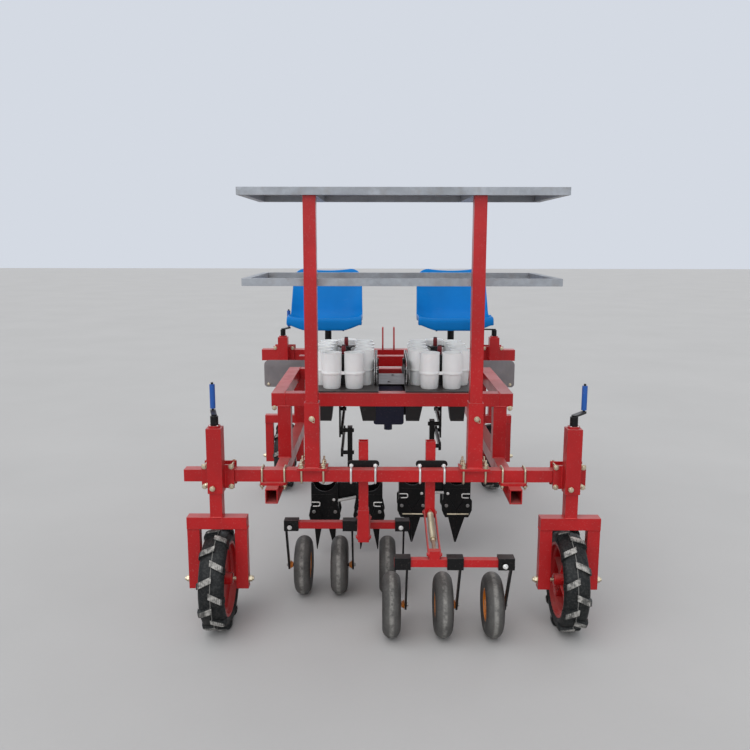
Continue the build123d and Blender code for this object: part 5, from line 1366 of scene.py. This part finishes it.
class TRANSPLANTER_OT_bucket_fittings(bpy.types.Operator):
    """Return springs, hooks, bolts, cheek pins and guide rods on the planting buckets"""

    bl_idname = "transplanter.bucket_fittings"
    bl_label = "Buckets' fittings"

    def execute(self, context):
        for unit in UNITS:
            body = f"carrier_{unit.side}"
            wires, rods, pins = bmesh.new(), bmesh.new(), bmesh.new()
            back = unit.y - BUCKET_BACK
            for row in BUCKET_ROWS:
                x, z = unit.sign * row, unit.base
                # hook of bent wire on the rear wall, on the side away from the unit's other bucket
                away = unit.sign * (1 if row == BUCKET_ROWS[1] else -1)
                hang = z + unit.hook_rise
                hook = [(x + away * out, back + forward, hang + above) for out, forward, above in BUCKET_HOOK]
                swept(wires, eased(hook, 7), 2.9, sides=10)
                bolt_head(wires, (x - away * BUCKET_BOLT_X, back, z + BUCKET_BOLT_RISE), (0, -1, 0), 6.0)
                for side in (-1, 1):
                    for out in (-1, 1):
                        spot = (x + side * CHEEK_PIN_X, unit.y + out * CHEEK_PIN_Y, z + CHEEK_PIN_RISE)
                        turned(pins, spot, (0, out, 0), CHEEK_PIN, 24)
                # raised line under the horns, front and back
                for y in (unit.y - BUCKET_LINE_Y, unit.y + BUCKET_LINE_Y):
                    height = z + BUCKET_LINE_RISE
                    ends = ((x - BUCKET_LINE_HALF, y, height), (x + BUCKET_LINE_HALF, y, height))
                    swept(rods, ends, 1.4, sides=8)
            middle, lean = unit.base + BUCKET_SPRING_RISE, unit.spring_lean
            start = (unit.sign * (BUCKET_ROWS[0] + BUCKET_SPRING_END), back + 2, middle + lean)
            end = (unit.sign * (BUCKET_ROWS[1] - BUCKET_SPRING_END), back + 2, middle - lean)
            spring(wires, start, end, 6.5, 1.9, 20)
            if unit.guided:
                self.guides(unit, rods, body)
            piece(f"bucket_wires_{unit.side}", wires, finish("spring_wire"), body=body)
            piece(f"bucket_rods_{unit.side}", rods, finish("black_paint"), body=body)
            piece(f"cheek_pins_{unit.side}", pins, finish("chain_steel"), body=body)
        return {"FINISHED"}

    @staticmethod
    def guides(unit, rods, body):
        """Guide rods across the feet of a unit's buckets, with their eyes."""
        bars = bmesh.new()
        y, z = unit.y - BUCKET_BACK - 8, unit.base + GUIDE_RISE
        for row in BUCKET_ROWS:
            x = unit.sign * row + 4
            turned(bars, (x - GUIDE_HALF, y, z), (1, 0, 0), ((GUIDE, 0), (GUIDE, 2 * GUIDE_HALF)), 14)
            for end in (-GUIDE_HALF - 4, GUIDE_HALF):
                turned(rods, (x + end, y, z), (1, 0, 0), ((7, 0), (7, 5)), 14)
                turned(rods, (x + end + 2.5, y, z), (0, 1, 0), ((3, 0), (3, 8)), 10)
        piece(f"bucket_guides_{unit.side}", bars, finish("zinc"), body=body)


class TRANSPLANTER_OT_stage(bpy.types.Operator):
    """Plain pale floor, soft light and the camera"""

    bl_idname = "transplanter.stage"
    bl_label = "Stage"

    def execute(self, context):
        scene = context.scene
        look = scene.transplanter_stage
        scene.view_settings.view_transform = "Standard"
        self.camera(scene, look)
        self.floor(scene, look)
        self.world(scene, look)
        self.lamps(scene)
        return {"FINISHED"}

    @staticmethod
    def camera(scene, look):
        data = bpy.data.cameras.new("camera")
        data.lens = look.lens
        data.sensor_width = 36.0
        data.sensor_fit = "HORIZONTAL"
        data.clip_end = 100.0
        camera = bpy.data.objects.new("camera", data)
        scene.collection.objects.link(camera)
        camera.location = look.camera
        level = Euler((pi / 2, 0, 0)).to_matrix()
        down = Matrix.Rotation(-look.pitch, 3, "X")
        turn = Matrix.Rotation(look.yaw, 3, "Z")
        lean = Matrix.Rotation(look.roll, 3, "Z")
        camera.rotation_euler = (turn @ down @ level @ lean).to_euler()
        scene.camera = camera

    @staticmethod
    def floor(scene, look):
        mesh = bmesh.new()
        corners = ((-1, -1), (1, -1), (1, 1), (-1, 1))
        mesh.faces.new([mesh.verts.new((x * FLOOR_REACH, y * FLOOR_REACH, 0)) for x, y in corners])
        data = bpy.data.meshes.new("floor")
        mesh.to_mesh(data)
        mesh.free()
        floor = bpy.data.objects.new("floor", data)
        scene.collection.objects.link(floor)
        material, tree, shader, place = blank("floor")
        tone = tuple(look.floor)
        cloud = blotch(tree, place, 0.9, detail=6, low=0.3, high=0.7)
        grain = blotch(tree, place, 60.0, detail=3, low=0.3, high=0.7)
        colour = mixed(tree, cloud, shade(tone, 0.97), shade(tone, 1.03))
        colour = mixed(tree, times(tree, grain, 0.05), colour, shade(tone, 0.8))
        tree.links.new(colour, shader.inputs["Base Color"])
        shader.inputs["Roughness"].default_value = 0.9
        data.materials.append(material)

    @staticmethod
    def world(scene, look):
        world = bpy.data.worlds.new("pale")
        scene.world = world
        world.use_nodes = True
        tree = world.node_tree
        tree.nodes.clear()
        ray = wire(tree, "LightPath")
        seen = reckoned(tree, "MAXIMUM", ray.outputs["Is Camera Ray"], ray.outputs["Is Glossy Ray"])
        seen = reckoned(tree, "MAXIMUM", seen, ray.outputs["Is Transmission Ray"])
        light = wire(tree, "Background", {"Color": (*SKY_LIGHT, 1.0), "Strength": SKY_STRENGTH})
        shown = wire(tree, "Background", {"Color": (*look.sky, 1.0), "Strength": 1.0})
        both = wire(tree, "MixShader", {0: seen, 1: light.outputs[0], 2: shown.outputs[0]})
        wire(tree, "OutputWorld", {"Surface": both.outputs[0]})

    @staticmethod
    def lamps(scene):
        lamps = (
            # name, where the light comes from, strength, softness in degrees
            ("sky_light", (-0.35, -0.45, 1.0), 1.15, 60),
            ("front_light", (-0.15, -1.0, 0.42), 0.85, 70),
            ("back_light", (0.3, 1.0, 0.7), 0.35, 70),
        )
        for name, source, power, softness in lamps:
            data = bpy.data.lights.new(name, "SUN")
            data.energy = power
            data.angle = radians(softness)
            lamp = bpy.data.objects.new(name, data)
            scene.collection.objects.link(lamp)
            lamp.rotation_euler = Vector(source).to_track_quat("Z", "Y").to_euler()


class TRANSPLANTER_PT_sidebar(bpy.types.Panel):
    """Lists the machine's pieces and settings in the 3D view's sidebar"""

    bl_idname = "TRANSPLANTER_PT_sidebar"
    bl_label = "Vegetable transplanter"
    bl_space_type = "VIEW_3D"
    bl_region_type = "UI"
    bl_category = "Transplanter"

    def draw(self, context):
        for group in ("transplanter_finish", "transplanter_fitting", "transplanter_stage"):
            box = self.layout.box()
            settings = getattr(context.scene, group)
            for key in settings.__annotations__:
                box.prop(settings, key)
        for operator in OPERATORS:
            self.layout.operator(operator.bl_idname)


SETTINGS = (
    ("transplanter_finish", FinishSettings),
    ("transplanter_fitting", FittingSettings),
    ("transplanter_stage", StageSettings),
)
OPERATORS = (
    TRANSPLANTER_OT_finishes,
    TRANSPLANTER_OT_ground_wheels,
    TRANSPLANTER_OT_seat_shells,
    TRANSPLANTER_OT_sheet_plates,
    TRANSPLANTER_OT_bar_bolts,
    TRANSPLANTER_OT_gang_plates,
    TRANSPLANTER_OT_jack_bolts,
    TRANSPLANTER_OT_welds,
    TRANSPLANTER_OT_post_bolts,
    TRANSPLANTER_OT_wheel_washers,
    TRANSPLANTER_OT_gang_bolts,
    TRANSPLANTER_OT_gang_springs,
    TRANSPLANTER_OT_ring_chains,
    TRANSPLANTER_OT_cup_shells,
    TRANSPLANTER_OT_cup_ribs,
    TRANSPLANTER_OT_ring_knobs,
    TRANSPLANTER_OT_bucket_fittings,
    TRANSPLANTER_OT_stage,
)


def register():
    for name, group in SETTINGS:
        bpy.utils.register_class(group)
        setattr(bpy.types.Scene, name, bpy.props.PointerProperty(type=group))
    for operator in OPERATORS:
        bpy.utils.register_class(operator)
    bpy.utils.register_class(TRANSPLANTER_PT_sidebar)


def unregister():
    bpy.utils.unregister_class(TRANSPLANTER_PT_sidebar)
    for operator in reversed(OPERATORS):
        bpy.utils.unregister_class(operator)
    for name, group in reversed(SETTINGS):
        delattr(bpy.types.Scene, name)
        bpy.utils.unregister_class(group)


def main():
    """Makes every piece in order."""
    register()
    for operator in OPERATORS:
        group, name = operator.bl_idname.split(".")
        getattr(getattr(bpy.ops, group), name)()


if __name__ == "__main__":
    main()
